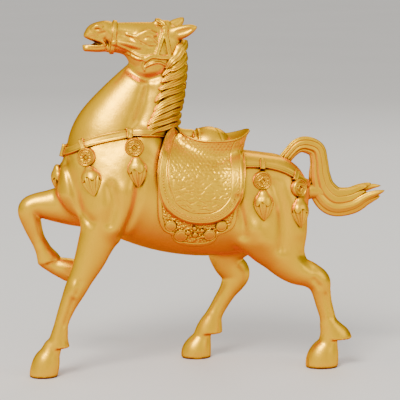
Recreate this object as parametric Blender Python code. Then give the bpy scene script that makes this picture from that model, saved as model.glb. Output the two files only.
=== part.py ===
"""Prancing horse figurine in saddle and harness, cast in one piece of gilt brass.

The figure is sculpted as a distance field: tapered forms with oval sections are melted into each
other, the harness is laid on that skin as raised sheets, and locks of hair are added on top. The
field is then meshed, thinned and cut flat under the hooves. All forms are written in figure units,
where the whole figure is 149 units long, and sizes of the fittings in metres.

Frame: +Z up, the head towards -X, the horse's left side towards -Y, origin on the ground under the
middle of the figure's box.
"""
import math

import bmesh
import bpy
import numpy as np

# Driving dimensions, in metres
FIGURE_LENGTH = 0.149
STRAP_WIDTH = 0.0034
STRAP_THICKNESS = 0.0011
COIN_DIAMETER = 0.0078
COIN_THICKNESS = 0.0014
TASSEL_LENGTH = 0.0125
TASSEL_DIAMETER = 0.0076
FLAP_THICKNESS = 0.0015
FLAP_BORDER = 0.0034
BLANKET_THICKNESS = 0.0014
HAIR_THICKNESS = 0.0020
SOLE_TRIM = 0.0030

# Counts
MANE_LOCKS = 9
TAIL_STRANDS = 5
TRIANGLES = 9800

UNIT = FIGURE_LENGTH / 149.0
GRID_STEP = 0.6
GRID_LEVELS = 2
FAR = 60.0
CUT_ROUNDING = 0.4
GRID_ROOM = 2.0
NEAR_SIDE = -1.0
FAR_SIDE = 1.0


def units(metres):
    """A length in metres as figure units."""
    return metres / UNIT


# Anatomy. A row is one station along a form: x, y, z, half depth in the side view, half width
# across. Each form has its blend radius and the rows. Head towards -x, near side towards -y.
TRUNK = {
    "barrel": (4.0, [
        (-42.0, 0.0, 74.0, 14.3, 13.5), (-30.0, 0.0, 72.5, 19.5, 16.8), (-14.0, 0.0, 69.2, 22.3, 18.3),
        (2.0, 0.0, 66.2, 21.7, 18.4), (16.0, 0.0, 66.2, 20.0, 17.8), (27.4, 0.0, 67.0, 16.7, 16.0)]),
    "near croup": (5.0, [(17.0, -6.5, 73.0, 12.2, 9.5), (28.7, -7.0, 72.0, 12.3, 9.0)]),
    "far croup": (5.0, [(17.0, 6.5, 73.0, 12.2, 9.5), (28.7, 7.0, 72.0, 12.3, 9.0)]),
    "withers": (2.0, [(-18.0, 0.0, 91.0, 5.0, 3.2), (-4.0, 0.0, 91.0, 4.5, 3.2)]),
    "tail rest": (1.5, [(41.0, 0.0, 70.5, 3.4, 2.8), (49.0, 0.0, 69.5, 3.4, 2.8)]),
    "near breast": (3.5, [(-43.5, -6.8, 80.0, 10.5, 7.2), (-46.0, -6.5, 71.0, 9.5, 7.0)]),
    "far breast": (3.5, [(-43.5, 6.8, 80.0, 10.5, 7.2), (-46.0, 6.5, 71.0, 9.5, 7.0)]),
    "near shoulder": (4.5, [(-24.0, -9.5, 87.0, 8.5, 6.5), (-33.0, -11.5, 74.0, 11.5, 7.5),
                            (-38.0, -12.0, 64.0, 10.5, 7.0)]),
    "far shoulder": (4.5, [(-24.0, 9.5, 87.0, 8.5, 6.5), (-33.0, 11.5, 74.0, 11.5, 7.5),
                           (-40.0, 11.5, 66.0, 10.5, 7.0)]),
}
NECK = {
    "neck": (5.0, [
        (-33.7, 0.0, 84.2, 19.7, 14.0), (-32.6, 0.0, 88.8, 19.9, 13.3), (-30.5, 0.0, 93.3, 19.2, 12.4),
        (-25.8, 0.0, 102.0, 16.4, 10.6), (-20.5, 0.0, 112.0, 12.4, 8.8), (-15.9, 0.0, 120.5, 8.6, 7.2),
        (-14.2, 0.0, 127.5, 6.8, 6.0)]),
}
HEAD = {
    "skull": (2.5, [
        (-13.5, -0.4, 131.2, 6.3, 5.6), (-20.0, -1.0, 128.9, 8.6, 6.3), (-27.0, -1.8, 131.0, 6.7, 5.3),
        (-33.0, -2.5, 132.4, 5.1, 4.4), (-38.0, -3.0, 133.9, 4.3, 4.0)]),
    "nose bone": (1.0, [(-16.0, -0.5, 135.9, 2.0, 2.2), (-28.0, -1.9, 135.8, 1.9, 2.0),
                        (-37.0, -2.9, 136.0, 1.9, 1.8)]),
    "cheek": (1.5, [(-19.3, -1.0, 124.6, 6.9, 6.9), (-22.5, -1.2, 126.2, 6.4, 6.6)]),
    "near face ridge": (0.6, [(-22.0, -7.0, 128.4, 1.1, 0.9), (-27.0, -6.7, 129.4, 1.1, 0.9),
                              (-32.0, -6.0, 130.6, 0.9, 0.7)]),
    "far face ridge": (0.6, [(-22.0, 4.9, 128.4, 1.1, 0.9), (-27.0, 3.3, 129.4, 1.1, 0.9),
                             (-32.0, 1.4, 130.6, 0.9, 0.7)]),
    "near nostril": (0.6, [(-39.6, -6.2, 136.0, 1.3, 0.9), (-42.2, -6.0, 135.6, 1.2, 0.9)]),
    "far nostril": (0.6, [(-39.6, 0.1, 136.0, 1.3, 0.9), (-42.2, -0.5, 135.6, 1.2, 0.9)]),
    "muzzle": (1.6, [(-38.0, -3.0, 134.0, 4.3, 4.1), (-41.5, -3.3, 134.1, 3.6, 3.9),
                     (-44.6, -3.5, 133.2, 1.5, 2.9)]),
    "jaw": (1.6, [(-30.0, -2.2, 129.3, 3.2, 3.6), (-36.0, -2.8, 128.4, 2.1, 3.2)]),
    "lower lip": (0.8, [(-36.0, -2.8, 128.5, 1.9, 3.0), (-40.5, -3.1, 127.9, 1.5, 2.9),
                        (-45.2, -3.5, 128.0, 1.3, 2.2)]),
    "tongue": (0.8, [(-37.0, -2.9, 129.4, 1.4, 1.7), (-42.0, -3.2, 129.0, 0.9, 1.5)]),
    "near brow": (1.2, [(-24.2, -6.0, 133.6, 1.0, 0.9), (-21.2, -6.9, 134.2, 1.1, 1.0),
                        (-17.6, -6.4, 131.6, 0.9, 0.9)]),
    "far brow": (1.2, [(-24.2, 3.2, 133.6, 1.0, 0.9), (-21.2, 4.3, 134.2, 1.1, 1.0),
                       (-17.6, 4.6, 131.6, 0.9, 0.9)]),
    "near eye": (0.3, [(-22.2, -6.0, 132.0, 1.3, 1.5), (-20.0, -6.3, 131.3, 1.3, 1.5)]),
    "far eye": (0.3, [(-22.2, 3.4, 132.0, 1.3, 1.5), (-20.0, 3.9, 131.3, 1.3, 1.5)]),
    "near ear": (0.8, [(-12.5, -3.4, 133.0, 2.6, 1.7), (-8.0, -4.2, 134.0, 2.8, 1.7),
                       (-4.6, -4.6, 135.2, 2.0, 1.3), (-2.2, -4.7, 136.0, 0.7, 0.7)]),
    "far ear": (0.8, [(-12.8, 3.0, 134.5, 2.4, 1.7), (-9.4, 4.0, 136.4, 2.4, 1.6),
                      (-7.2, 4.4, 138.0, 1.5, 1.2), (-6.2, 4.5, 139.2, 0.6, 0.6)]),
    "forelock": (0.8, [(-13.0, -0.5, 137.0, 1.6, 2.2), (-17.5, -1.2, 137.6, 1.0, 1.6)]),
}
LEGS = {
    "near foreleg": (3.0, [
        (-37.0, -11.0, 63.0, 9.5, 6.5), (-41.6, -12.0, 54.8, 7.5, 6.0), (-45.0, -12.5, 46.4, 6.1, 5.0),
        (-48.3, -12.8, 39.5, 4.8, 4.3), (-50.8, -13.0, 34.6, 4.3, 4.1), (-54.0, -13.0, 27.8, 3.3, 3.1),
        (-56.3, -13.0, 21.6, 2.8, 2.7), (-57.3, -13.0, 16.5, 3.1, 2.8)]),
    "far foreleg": (3.0, [
        (-42.0, 10.0, 64.0, 9.0, 6.2), (-49.0, 10.5, 63.2, 7.3, 5.6), (-57.0, 10.8, 64.2, 6.4, 5.0),
        (-64.5, 11.0, 64.6, 4.8, 4.3), (-67.6, 11.0, 62.6, 4.5, 4.2), (-66.4, 11.0, 57.0, 3.8, 3.6),
        (-64.7, 11.0, 52.0, 3.1, 2.9), (-62.7, 11.0, 47.8, 2.9, 2.8)]),
    "near thigh": (5.0, [
        (26.6, -8.5, 66.0, 13.2, 8.5), (28.0, -10.5, 57.2, 13.5, 8.2), (31.4, -11.6, 47.2, 9.1, 6.6),
        (36.4, -12.2, 40.8, 6.5, 5.0), (42.3, -12.4, 37.9, 5.2, 4.2), (46.0, -12.4, 35.2, 4.8, 4.0),
        (47.2, -12.3, 31.5, 3.9, 3.5), (48.3, -12.2, 26.6, 3.4, 3.1), (49.9, -12.1, 21.0, 3.2, 2.9),
        (50.5, -12.0, 18.0, 3.3, 3.0)]),
    "near stifle": (5.0, [(19.4, -12.0, 57.0, 8.0, 5.5), (24.4, -12.2, 51.8, 7.1, 5.2)]),
    "far thigh": (5.0, [
        (24.0, 8.5, 66.0, 13.5, 8.5), (20.0, 10.5, 56.0, 12.0, 8.2), (13.2, 11.8, 46.5, 8.4, 6.5),
        (13.2, 12.2, 39.6, 6.2, 5.0), (16.5, 12.4, 35.0, 6.0, 4.3), (15.9, 12.4, 31.6, 5.0, 4.0),
        (13.6, 12.3, 27.6, 3.8, 3.4), (10.5, 12.2, 22.6, 3.4, 3.0), (8.2, 12.1, 18.5, 3.3, 3.0)]),
}
# Forms cut flat: blend radius, rows, and x, z and the outward normal of the cut in the side view.
# The fetlocks end in a skirt with a spur at the back, and each hoof flares out under its skirt.
SKIRTS = {
    "near fore": (0.9, [(-57.1, -13.0, 17.6, 2.9, 2.7), (-57.7, -13.0, 14.4, 3.7, 3.3),
                        (-58.0, -13.0, 11.0, 4.7, 3.9), (-58.0, -13.0, 9.0, 4.8, 4.0)],
                  (-58.0, 11.3), (0.0, -1.0)),
    "near hind": (0.9, [(51.0, -12.0, 16.6, 3.9, 3.3), (52.4, -12.0, 13.6, 5.2, 3.9),
                        (53.6, -12.0, 11.0, 6.4, 4.4), (53.8, -12.0, 9.4, 6.4, 4.4)],
                  (53.0, 11.3), (0.0, -1.0)),
    "far hind": (0.9, [(7.2, 12.0, 16.6, 3.5, 3.1), (6.0, 12.0, 12.6, 5.0, 3.8),
                       (5.3, 12.0, 9.6, 5.8, 4.2), (5.3, 12.0, 8.6, 5.8, 4.2)],
                 (5.0, 9.9), (0.0, -1.0)),
    "far fore": (0.9, [(-62.7, 11.0, 47.8, 2.9, 2.8), (-61.2, 11.0, 44.6, 3.7, 3.3),
                       (-59.7, 11.0, 41.7, 4.7, 3.8), (-59.4, 11.0, 40.8, 4.7, 3.8)],
                 (-59.7, 41.7), (0.304, -0.953)),
}
HOOVES = {
    "near fore": (0.6, [(-60.2, -13.0, 11.4, 3.6, 3.1), (-61.5, -13.0, 8.2, 4.2, 4.0),
                        (-62.6, -13.0, 5.5, 5.3, 4.8), (-63.4, -13.0, 2.5, 5.6, 5.2),
                        (-63.8, -13.0, 0.0, 5.5, 5.2), (-64.0, -13.0, -4.0, 5.4, 5.2)],
                  (-64.0, 0.0), (0.0, -1.0)),
    "near hind": (0.6, [(50.6, -12.0, 11.4, 3.6, 3.2), (49.8, -12.0, 7.8, 4.5, 4.1),
                        (48.7, -12.0, 5.2, 5.9, 4.9), (48.0, -12.0, 2.5, 6.6, 5.4),
                        (47.8, -12.0, 0.0, 6.5, 5.4), (47.8, -12.0, -4.0, 6.4, 5.4)],
                  (48.0, 0.0), (0.0, -1.0)),
    "far hind": (0.6, [(3.2, 12.0, 10.0, 3.2, 3.0), (2.2, 12.0, 6.9, 4.1, 3.8),
                       (1.1, 12.0, 4.4, 5.3, 4.7), (0.2, 12.0, 2.0, 6.1, 5.2),
                       (0.2, 12.0, 0.0, 6.1, 5.2), (0.2, 12.0, -4.0, 6.0, 5.2)],
                 (0.2, 0.0), (0.0, -1.0)),
    "far fore": (0.6, [(-61.0, 11.0, 41.6, 3.0, 2.9), (-57.0, 11.0, 39.6, 3.6, 3.4),
                       (-54.5, 11.0, 38.8, 4.2, 4.0), (-51.5, 11.0, 37.8, 4.8, 4.4),
                       (-49.5, 11.0, 37.2, 4.7, 4.4), (-46.5, 11.0, 36.2, 4.6, 4.3)],
                 (-49.0, 37.0), (0.95, -0.31)),
}
# Hollows sunk into the head: depth of the blend and the rows.
HOLLOWS = {
    "near cheek": (0.8, [(-24.5, -8.4, 132.8, 1.6, 1.3), (-31.5, -7.4, 133.9, 1.4, 1.1)]),
    "far cheek": (0.8, [(-24.5, 6.2, 132.8, 1.6, 1.3), (-31.5, 2.9, 133.9, 1.4, 1.1)]),
    "near nostril": (0.3, [(-40.2, -7.3, 135.6, 0.6, 0.8), (-41.8, -7.0, 135.2, 0.6, 0.8)]),
    "far nostril": (0.3, [(-40.2, 1.0, 135.6, 0.6, 0.8), (-41.8, 0.5, 135.2, 0.6, 0.8)]),
}

# Tail: x, z, half depth along its middle line, and the half width across it.
TAIL_LINE = [
    (33.4, 81.6, 2.6), (36.4, 85.2, 2.5), (39.6, 88.0, 2.9), (43.2, 88.5, 3.4), (47.3, 86.5, 3.6),
    (48.5, 81.6, 3.7), (48.8, 75.7, 4.5), (50.2, 69.9, 5.5), (54.6, 65.4, 6.0), (61.4, 65.4, 5.5),
    (66.8, 67.8, 4.8), (71.2, 69.2, 4.2), (75.0, 70.0, 2.6)]
TAIL_HALF_WIDTH = 3.4

# Mane: x and z of the crest, and of the line where the locks end on the neck.
CREST = [(-9.2, 131.0), (-7.0, 125.4), (-6.3, 120.4), (-6.1, 114.3), (-7.4, 108.6), (-9.8, 103.0)]
MANE_EDGE = [(-12.6, 120.0), (-16.0, 115.0), (-17.6, 108.5), (-18.4, 103.0), (-20.8, 97.4),
             (-21.4, 93.6)]

LOCK_HALF_WIDTH = 1.4

# Harness: x and z of the middle line of each strap.
BREAST_STRAP = [(-60.0, 84.2), (-54.0, 87.2), (-47.5, 90.4), (-40.1, 93.2), (-30.1, 95.0),
                (-22.1, 95.2), (-13.0, 94.6)]
CRUPPER_STRAP = [(13.0, 82.6), (20.0, 82.2), (26.0, 81.6), (31.4, 80.2), (35.8, 77.8), (46.0, 71.0)]
STRAP_TABS = (-47.3, -29.4, 22.6, 37.2)
TAB_HALF_WIDTH = 1.1
NOSE_BAND = (-34.4, 133.0, 0.12)
NOSE_BAND_FOOT = 125.0
BRIDLE_FOOT = 123.0
BROW_BAND = ((-14.4, 138.6), (-13.6, 131.0))
CHEEK_STRAPS = (((-13.6, 131.8), (-16.8, 124.6)), ((-13.6, 131.8), (-11.8, 124.8)))
PENDANTS = {
    "breast front": (-46.2, 86.4, 0.22), "breast rear": (-27.8, 90.2, 0.12),
    "crupper front": (22.4, 76.4, 0.03), "crupper rear": (37.2, 73.0, 0.06),
}

# Saddle: middle and half axes of the flap, its straight-side height, seat and blanket lobes.
FLAP_MIDDLE = (-2.3, 78.0)
FLAP_HALF = (16.3, 16.8)
FLAP_TOP = 92.0
FLAP_POWER = 2.4
BLANKET_LOBES = [(-3.3, 60.5, 11.2, 10.2), (-12.4, 62.5, 6.4, 7.0), (6.2, 63.0, 6.4, 6.6)]
BLANKET_SIDE = (-2.8, 74.0, 15.8, 12.0)
SEAT_MIDDLE = (4.6, 92.0)
SEAT_HALF = (15.3, 13.8)
SEAT_DEPTH = 7.5
POMMEL_RISE = 5.0
CANTLE_RISE = 3.2
RIM_CURVE = 3.0
DOME = (3.4, 0.0, 89.0, 9.2, 8.4, 7.4)


def smooth_path(rows, steps=4):
    """Catmull-Rom curve through rows of numbers, with a number of steps between two rows."""
    rows = np.asarray(rows, dtype=float)
    padded = np.vstack([2 * rows[0] - rows[1], rows, 2 * rows[-1] - rows[-2]])
    out = []
    for i in range(1, len(padded) - 2):
        p0, p1, p2, p3 = padded[i - 1:i + 3]
        for t in np.arange(steps) / steps:
            out.append(0.5 * (2 * p1 + (p2 - p0) * t + (2 * p0 - 5 * p1 + 4 * p2 - p3) * t ** 2
                              + (3 * p1 - p0 - 3 * p2 + p3) * t ** 3))
    out.append(padded[-2])
    return np.array(out)


def soft_union(a, b, radius):
    """The lower of two distances, melted together over a radius."""
    overlap = np.maximum(radius - np.abs(a - b), 0.0) / radius
    return np.minimum(a, b) - overlap * overlap * radius * 0.25


def soft_cut(a, b, radius):
    """The higher of two distances, rounded over a radius."""
    return -soft_union(-a, -b, radius)


def oval_distance(depth, side, half_depth, half_width):
    """Distance to an oval section, true near its edge."""
    ratio = np.sqrt((depth / half_depth) ** 2 + (side / half_width) ** 2)
    slope = np.sqrt((depth / half_depth ** 2) ** 2 + (side / half_width ** 2) ** 2)
    return np.where(slope > 1e-6, ratio * (ratio - 1.0) / np.maximum(slope, 1e-6), -half_width)


def tube_distance(points, rows):
    """Distance to a tube through rows of x, y, z, half depth and half width."""
    best = np.full(len(points), FAR)
    for start, end in zip(rows[:-1], rows[1:]):
        axis = end[:3] - start[:3]
        share = np.clip((points - start[:3]) @ axis / max(axis @ axis, 1e-9), 0.0, 1.0)
        here = start + share[:, None] * (end - start)
        offset = points - here[:, :3]
        depth = np.hypot(offset[:, 0], offset[:, 2])
        best = np.minimum(best, oval_distance(depth, offset[:, 1], here[:, 3], here[:, 4]))
    return best


def add_form(distance, points, rows, radius):
    """Melt a tube into the field, working only on the points near it."""
    rows = np.asarray(rows, dtype=float)
    reach = rows[:, 3:].max() + radius + 2.0 * GRID_STEP
    low = rows[:, :3].min(axis=0) - reach
    high = rows[:, :3].max(axis=0) + reach
    near = np.all((points > low) & (points < high), axis=1)
    if near.any():
        distance[near] = soft_union(distance[near], tube_distance(points[near], rows), radius)


def add_cut_form(distance, points, rows, radius, spot, normal):
    """Melt a tube that ends in a flat cut into the field."""
    rows = np.asarray(rows, dtype=float)
    reach = rows[:, 3:].max() + radius + 2.0 * GRID_STEP
    near = np.all((points > rows[:, :3].min(axis=0) - reach)
                  & (points < rows[:, :3].max(axis=0) + reach), axis=1)
    if near.any():
        past = (points[near][:, 0] - spot[0]) * normal[0] + (points[near][:, 2] - spot[1]) * normal[1]
        form = soft_cut(tube_distance(points[near], rows), past, CUT_ROUNDING)
        distance[near] = soft_union(distance[near], form, radius)


def anatomy_distance(points):
    """The bare horse, without harness and hair."""
    distance = np.full(len(points), FAR)
    for group in (TRUNK, NECK, HEAD, LEGS):
        for radius, rows in group.values():
            add_form(distance, points, smooth_path(rows), radius)
    for radius, rows, (x, z), normal in list(SKIRTS.values()) + list(HOOVES.values()):
        if z == 0.0:
            z = -units(SOLE_TRIM)
        add_cut_form(distance, points, smooth_path(rows), radius, (x, z), normal)
    for radius, rows in HOLLOWS.values():
        distance = soft_cut(distance, -tube_distance(points, smooth_path(rows)), radius)
    return distance


def skin_y(x, z, side):
    """Where a line across the figure at x, z meets the bare horse, from one side."""
    across = np.arange(24.0, -0.01, -0.1)
    line = np.column_stack([np.full(len(across), x), side * across, np.full(len(across), z)])
    field = anatomy_distance(line)
    inside = np.nonzero(field < 0.0)[0]
    return side * across[inside[0]] if len(inside) else side * across[field.argmin()]


def skin_normal(x, y, z):
    """The outward direction of the bare horse at a point."""
    step = 0.6
    probes = np.array([[x, y, z]] * 6) + step * np.vstack([np.eye(3), -np.eye(3)])
    field = anatomy_distance(probes)
    normal = field[:3] - field[3:]
    return normal / np.linalg.norm(normal)


def strap_region(points, line, half_width):
    """How far a point lies outside a band round the body, from the band's line in the side view."""
    line = smooth_path(line)
    slope = np.gradient(line[:, 1], line[:, 0])
    middle = np.interp(points[:, 0], line[:, 0], line[:, 1])
    tilt = np.interp(points[:, 0], line[:, 0], slope)
    off = np.abs(points[:, 2] - middle) / np.sqrt(1.0 + tilt ** 2) - half_width
    return np.maximum(off, np.maximum(line[0, 0] - points[:, 0], points[:, 0] - line[-1, 0]))


def segment_region(points, start, end, half_width):
    """How far a point lies outside a straight strip in the side view."""
    flat = points[:, [0, 2]]
    start = np.array(start)
    axis = np.array(end) - start
    share = np.clip((flat - start) @ axis / (axis @ axis), 0.0, 1.0)
    return np.linalg.norm(flat - start - share[:, None] * axis, axis=1) - half_width


def flap_region(points, inset=0.0):
    """How far a point lies outside the saddle flap's round-bottomed outline."""
    off_x = np.abs(points[:, 0] - FLAP_MIDDLE[0]) / (FLAP_HALF[0] - inset)
    off_z = np.maximum(FLAP_MIDDLE[1] - points[:, 2], 0.0) / (FLAP_HALF[1] - inset)
    ratio = (off_x ** FLAP_POWER + off_z ** FLAP_POWER) ** (1.0 / FLAP_POWER)
    return np.maximum((ratio - 1.0) * (FLAP_HALF[0] - inset), points[:, 2] - FLAP_TOP)


def blanket_region(points):
    """How far a point lies outside the lobed blanket under the flap."""
    best = np.full(len(points), FAR)
    for x, z, half_x, half_z in BLANKET_LOBES + [BLANKET_SIDE]:
        lobe = oval_distance(points[:, 0] - x, points[:, 2] - z, half_x, half_z)
        best = np.minimum(best, lobe)
    return best


def seat_distance(points):
    """The seat: a flared dish with a raised pommel and cantle, and a dome in its middle."""
    x = points[:, 0] - SEAT_MIDDLE[0]
    height = points[:, 2] - SEAT_MIDDLE[1]
    rise = np.where(x < 0.0, POMMEL_RISE, CANTLE_RISE) * (np.abs(x) / SEAT_HALF[0]) ** RIM_CURVE
    below = np.clip((rise - height) / SEAT_DEPTH, 0.0, 1.0)
    flare = 1.0 - 0.26 * np.sin(0.5 * math.pi * below) ** 0.8
    ratio = np.sqrt((x / SEAT_HALF[0]) ** 2 + (points[:, 1] / SEAT_HALF[1]) ** 2)
    wall = (ratio - flare) * SEAT_HALF[1]
    dish = height - rise + 1.6 * (1.0 - np.clip(ratio / 0.86, 0.0, 1.0) ** 6)
    seat = soft_cut(wall, soft_cut(dish, -height - SEAT_DEPTH, 0.8), 0.8)
    cx, cy, cz, rx, ry, rz = DOME
    scaled = (points - np.array([cx, cy, cz])) / np.array([rx, ry, rz])
    dome = (np.linalg.norm(scaled, axis=1) - 1.0) * rz
    return soft_union(seat, dome, 0.8)


def coin_distance(points, centre, normal):
    """A round coin lying on the skin, with a raised rim and a square boss."""
    offset = points - centre
    along = offset @ normal
    flat = offset - along[:, None] * normal
    radius = units(COIN_DIAMETER) / 2
    out = np.linalg.norm(flat, axis=1)
    face = np.where(out > radius * 0.78, 0.0, 0.35)
    square = np.maximum(np.abs(flat[:, 0] + flat[:, 2]), np.abs(flat[:, 0] - flat[:, 2]))
    face = np.where(square < radius * 0.55, 0.1, face)
    return soft_cut(out - radius, np.abs(along) - units(COIN_THICKNESS) + face, 0.3)


def tassel_rows(x, z, lean, side):
    """Stations of a tassel hanging on the skin: a domed cap over a pointed bundle of threads."""
    length = units(TASSEL_LENGTH)
    radius = units(TASSEL_DIAMETER) / 2
    profile = [(0.0, 0.35), (0.10, 0.72), (0.28, 1.0), (0.34, 0.96), (0.40, 0.86), (0.60, 0.68),
               (0.80, 0.40), (0.96, 0.14)]
    rows = []
    for share, swell in profile:
        at_x = x + lean * length * share
        at_z = z - length * share
        y = skin_y(at_x, at_z, side)
        rows.append((at_x, y + side * radius * 0.25, at_z, radius * swell, radius * swell * 0.8))
    return np.array(rows)


def pendant_forms():
    """Coins and tassels of both sides, and the tassel in the middle of the chest."""
    coins = []
    tassels = []
    for x, z, lean in PENDANTS.values():
        for side in (NEAR_SIDE, FAR_SIDE):
            y = skin_y(x, z, side)
            normal = skin_normal(x, y, z)
            coins.append((np.array([x, y, z]), normal))
            drop = units(COIN_DIAMETER) / 2
            tassels.append(tassel_rows(x + lean * drop, z - drop, lean, side))
    length = units(TASSEL_LENGTH)
    radius = units(TASSEL_DIAMETER) / 2
    chest = []
    for share, swell in ((0.0, 0.4), (0.15, 0.8), (0.3, 1.0), (0.38, 0.85), (0.7, 0.55), (1.0, 0.12)):
        z = 82.0 - length * share
        x = front_x(z) - radius * (0.3 + 0.3 * swell)
        chest.append((x, 0.0, z, radius * swell, radius * swell))
    tassels.append(np.array(chest))
    return coins, tassels


def front_x(z):
    """Where the chest's middle line lies at a height."""
    along = np.arange(-66.0, -30.0, 0.1)
    line = np.column_stack([along, np.zeros(len(along)), np.full(len(along), z)])
    return along[np.nonzero(anatomy_distance(line) < 0.0)[0][0]]


def mane_locks():
    """Locks that leave the crest and sweep down the neck in an S, on both sides."""
    crest = smooth_path(CREST)
    edge = smooth_path(MANE_EDGE)
    thick = units(HAIR_THICKNESS)
    forms = []
    for lock in range(MANE_LOCKS):
        share = lock / (MANE_LOCKS - 1)
        root = crest[round(share * (len(crest) - 1))]
        tip = edge[round(share * (len(edge) - 1))]
        for side in (NEAR_SIDE, FAR_SIDE):
            rows = []
            for t in (0.0, 0.17, 0.34, 0.5, 0.67, 0.84, 1.0):
                sway = 1.1 * math.sin(2 * math.pi * t)
                x, z = root + (tip - root) * t + sway * np.array([0.45, 0.9])
                width = LOCK_HALF_WIDTH * (1.0 - 0.7 * t ** 3)
                y = side * 0.8 if t == 0.0 else skin_y(x, z, side)
                rows.append((x, y, z, width, thick * (1.0 - 0.5 * t ** 2)))
            forms.append(smooth_path(rows, 3))
    return forms


def tail_strands():
    """Strands that follow the tail's middle line, side by side, with staggered tips."""
    line = smooth_path(TAIL_LINE)
    step = np.gradient(line[:, :2], axis=0)
    normal = np.column_stack([-step[:, 1], step[:, 0]]) / np.linalg.norm(step, axis=1)[:, None]
    share = np.linspace(0.0, 1.0, len(line))
    forms = []
    for strand in range(TAIL_STRANDS):
        spot = 2.0 * strand / (TAIL_STRANDS - 1) - 1.0
        stop = int(len(line) * (1.0 - 0.09 * (strand % 2) - 0.05 * abs(spot)))
        spread = 0.70 * line[:, 2]
        middle = line[:, :2] + normal * (spot * spread)[:, None]
        radius = line[:, 2] * 0.25
        radius = radius * np.where(share > 0.85, 1.0 - 0.6 * (share - 0.85) / 0.15, 1.0)
        across = TAIL_HALF_WIDTH * math.sqrt(1.0 - 0.5 * spot ** 2) * (0.72 + 0.28 * share)
        rows = np.column_stack([middle[:, 0], np.zeros(len(line)), middle[:, 1], radius, across])
        forms.append(rows[:stop])
    core = np.column_stack([line[:, 0], np.zeros(len(line)), line[:, 1], line[:, 2] * 0.72,
                            np.full(len(line), TAIL_HALF_WIDTH * 0.55)])
    forms.append(core[:-6])
    return forms


def horse_distance(points, locks, strands, coins, tassels):
    """The whole casting."""
    skin = anatomy_distance(points)
    distance = skin.copy()
    blanket = soft_cut(skin - units(BLANKET_THICKNESS), blanket_region(points), 0.5)
    distance = soft_union(distance, blanket, 0.2)
    flap_top = units(BLANKET_THICKNESS + FLAP_THICKNESS)
    flap = soft_cut(skin - flap_top, flap_region(points), 0.8)
    field = flap_region(points, units(FLAP_BORDER))
    flap = soft_cut(flap, -soft_cut(field, flap_top - 0.45 - skin, 0.2), 0.2)
    distance = soft_union(distance, flap, 0.2)
    half_strap = units(STRAP_WIDTH) / 2
    raised = skin - units(STRAP_THICKNESS)
    for line in (BREAST_STRAP, CRUPPER_STRAP):
        strap = soft_cut(raised, strap_region(points, line, half_strap), 0.4)
        distance = soft_union(distance, strap, 0.2)
        for x in STRAP_TABS:
            tab = np.maximum(strap_region(points, line, half_strap + 0.5),
                             np.abs(points[:, 0] - x) - TAB_HALF_WIDTH)
            distance = soft_union(distance, soft_cut(raised - 0.5, tab, 0.3), 0.2)
    band_x, band_z, slant = NOSE_BAND
    bridle = np.abs(points[:, 0] - band_x - slant * (points[:, 2] - band_z)) - half_strap * 0.55
    bridle = np.maximum(bridle, NOSE_BAND_FOOT - points[:, 2])
    for start, end in (BROW_BAND,) + CHEEK_STRAPS:
        bridle = np.minimum(bridle, segment_region(points, start, end, half_strap * 0.5))
    bridle = soft_cut(skin - units(STRAP_THICKNESS) * 0.8, bridle, 0.4)
    bridle = np.maximum(bridle, BRIDLE_FOOT - points[:, 2])
    distance = soft_union(distance, bridle, 0.3)
    distance = soft_union(distance, seat_distance(points), 1.2)
    for rows in locks:
        add_form(distance, points, rows, 0.25)
    for rows in strands:
        add_form(distance, points, rows, 0.3)
    for centre, normal in coins:
        distance = soft_union(distance, coin_distance(points, centre, normal), 0.2)
    for rows in tassels:
        add_form(distance, points, rows, 0.3)
    return distance


def sample_field(low, high, step, levels):
    """The field on a grid. Each finer level is worked out only near the surface."""
    coins, tassels = pendant_forms()
    fittings = (mane_locks(), tail_strands(), coins, tassels)
    coarse = step * 2 ** levels
    counts = np.ceil((high - low) / coarse).astype(int) + 1
    field = np.zeros(counts)
    near = np.ones(counts, dtype=bool)
    for level in range(levels + 1):
        if level:
            coarse /= 2
            field = field.repeat(2, axis=0).repeat(2, axis=1).repeat(2, axis=2)
            near = np.abs(field) < 1.75 * coarse + 0.8
        field[near] = horse_distance(low + coarse * np.argwhere(near), *fittings)
    return field


def single_sheets(field, step):
    """Fill the few grid corners where two sheets of the surface would share a cell."""
    corners = [(i, j, k) for i in (0, 1) for j in (0, 1) for k in (0, 1)]
    split = np.zeros(256, dtype=bool)
    for case in range(256):
        for state in (0, 1):
            left = [c for n, c in enumerate(corners) if (case >> n) & 1 == state]
            if left:
                group = [left.pop()]
                for a in group:
                    for b in [b for b in left if sum(abs(p - q) for p, q in zip(a, b)) == 1]:
                        left.remove(b)
                        group.append(b)
                split[case] |= bool(left)
    size = np.array(field.shape) - 1
    while True:
        inside = field < 0.0
        case = sum(inside[i:i + size[0], j:j + size[1], k:k + size[2]].astype(int) << n
                   for n, (i, j, k) in enumerate(corners))
        cells = np.argwhere(split[case])
        if not len(cells):
            return field
        values = np.stack([field[tuple((cells + c).T)] for c in corners], axis=1)
        lowest = np.where(values < 0.0, FAR, values).argmin(axis=1)
        field[tuple((cells + np.array(corners)[lowest]).T)] = -0.05 * step


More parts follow.
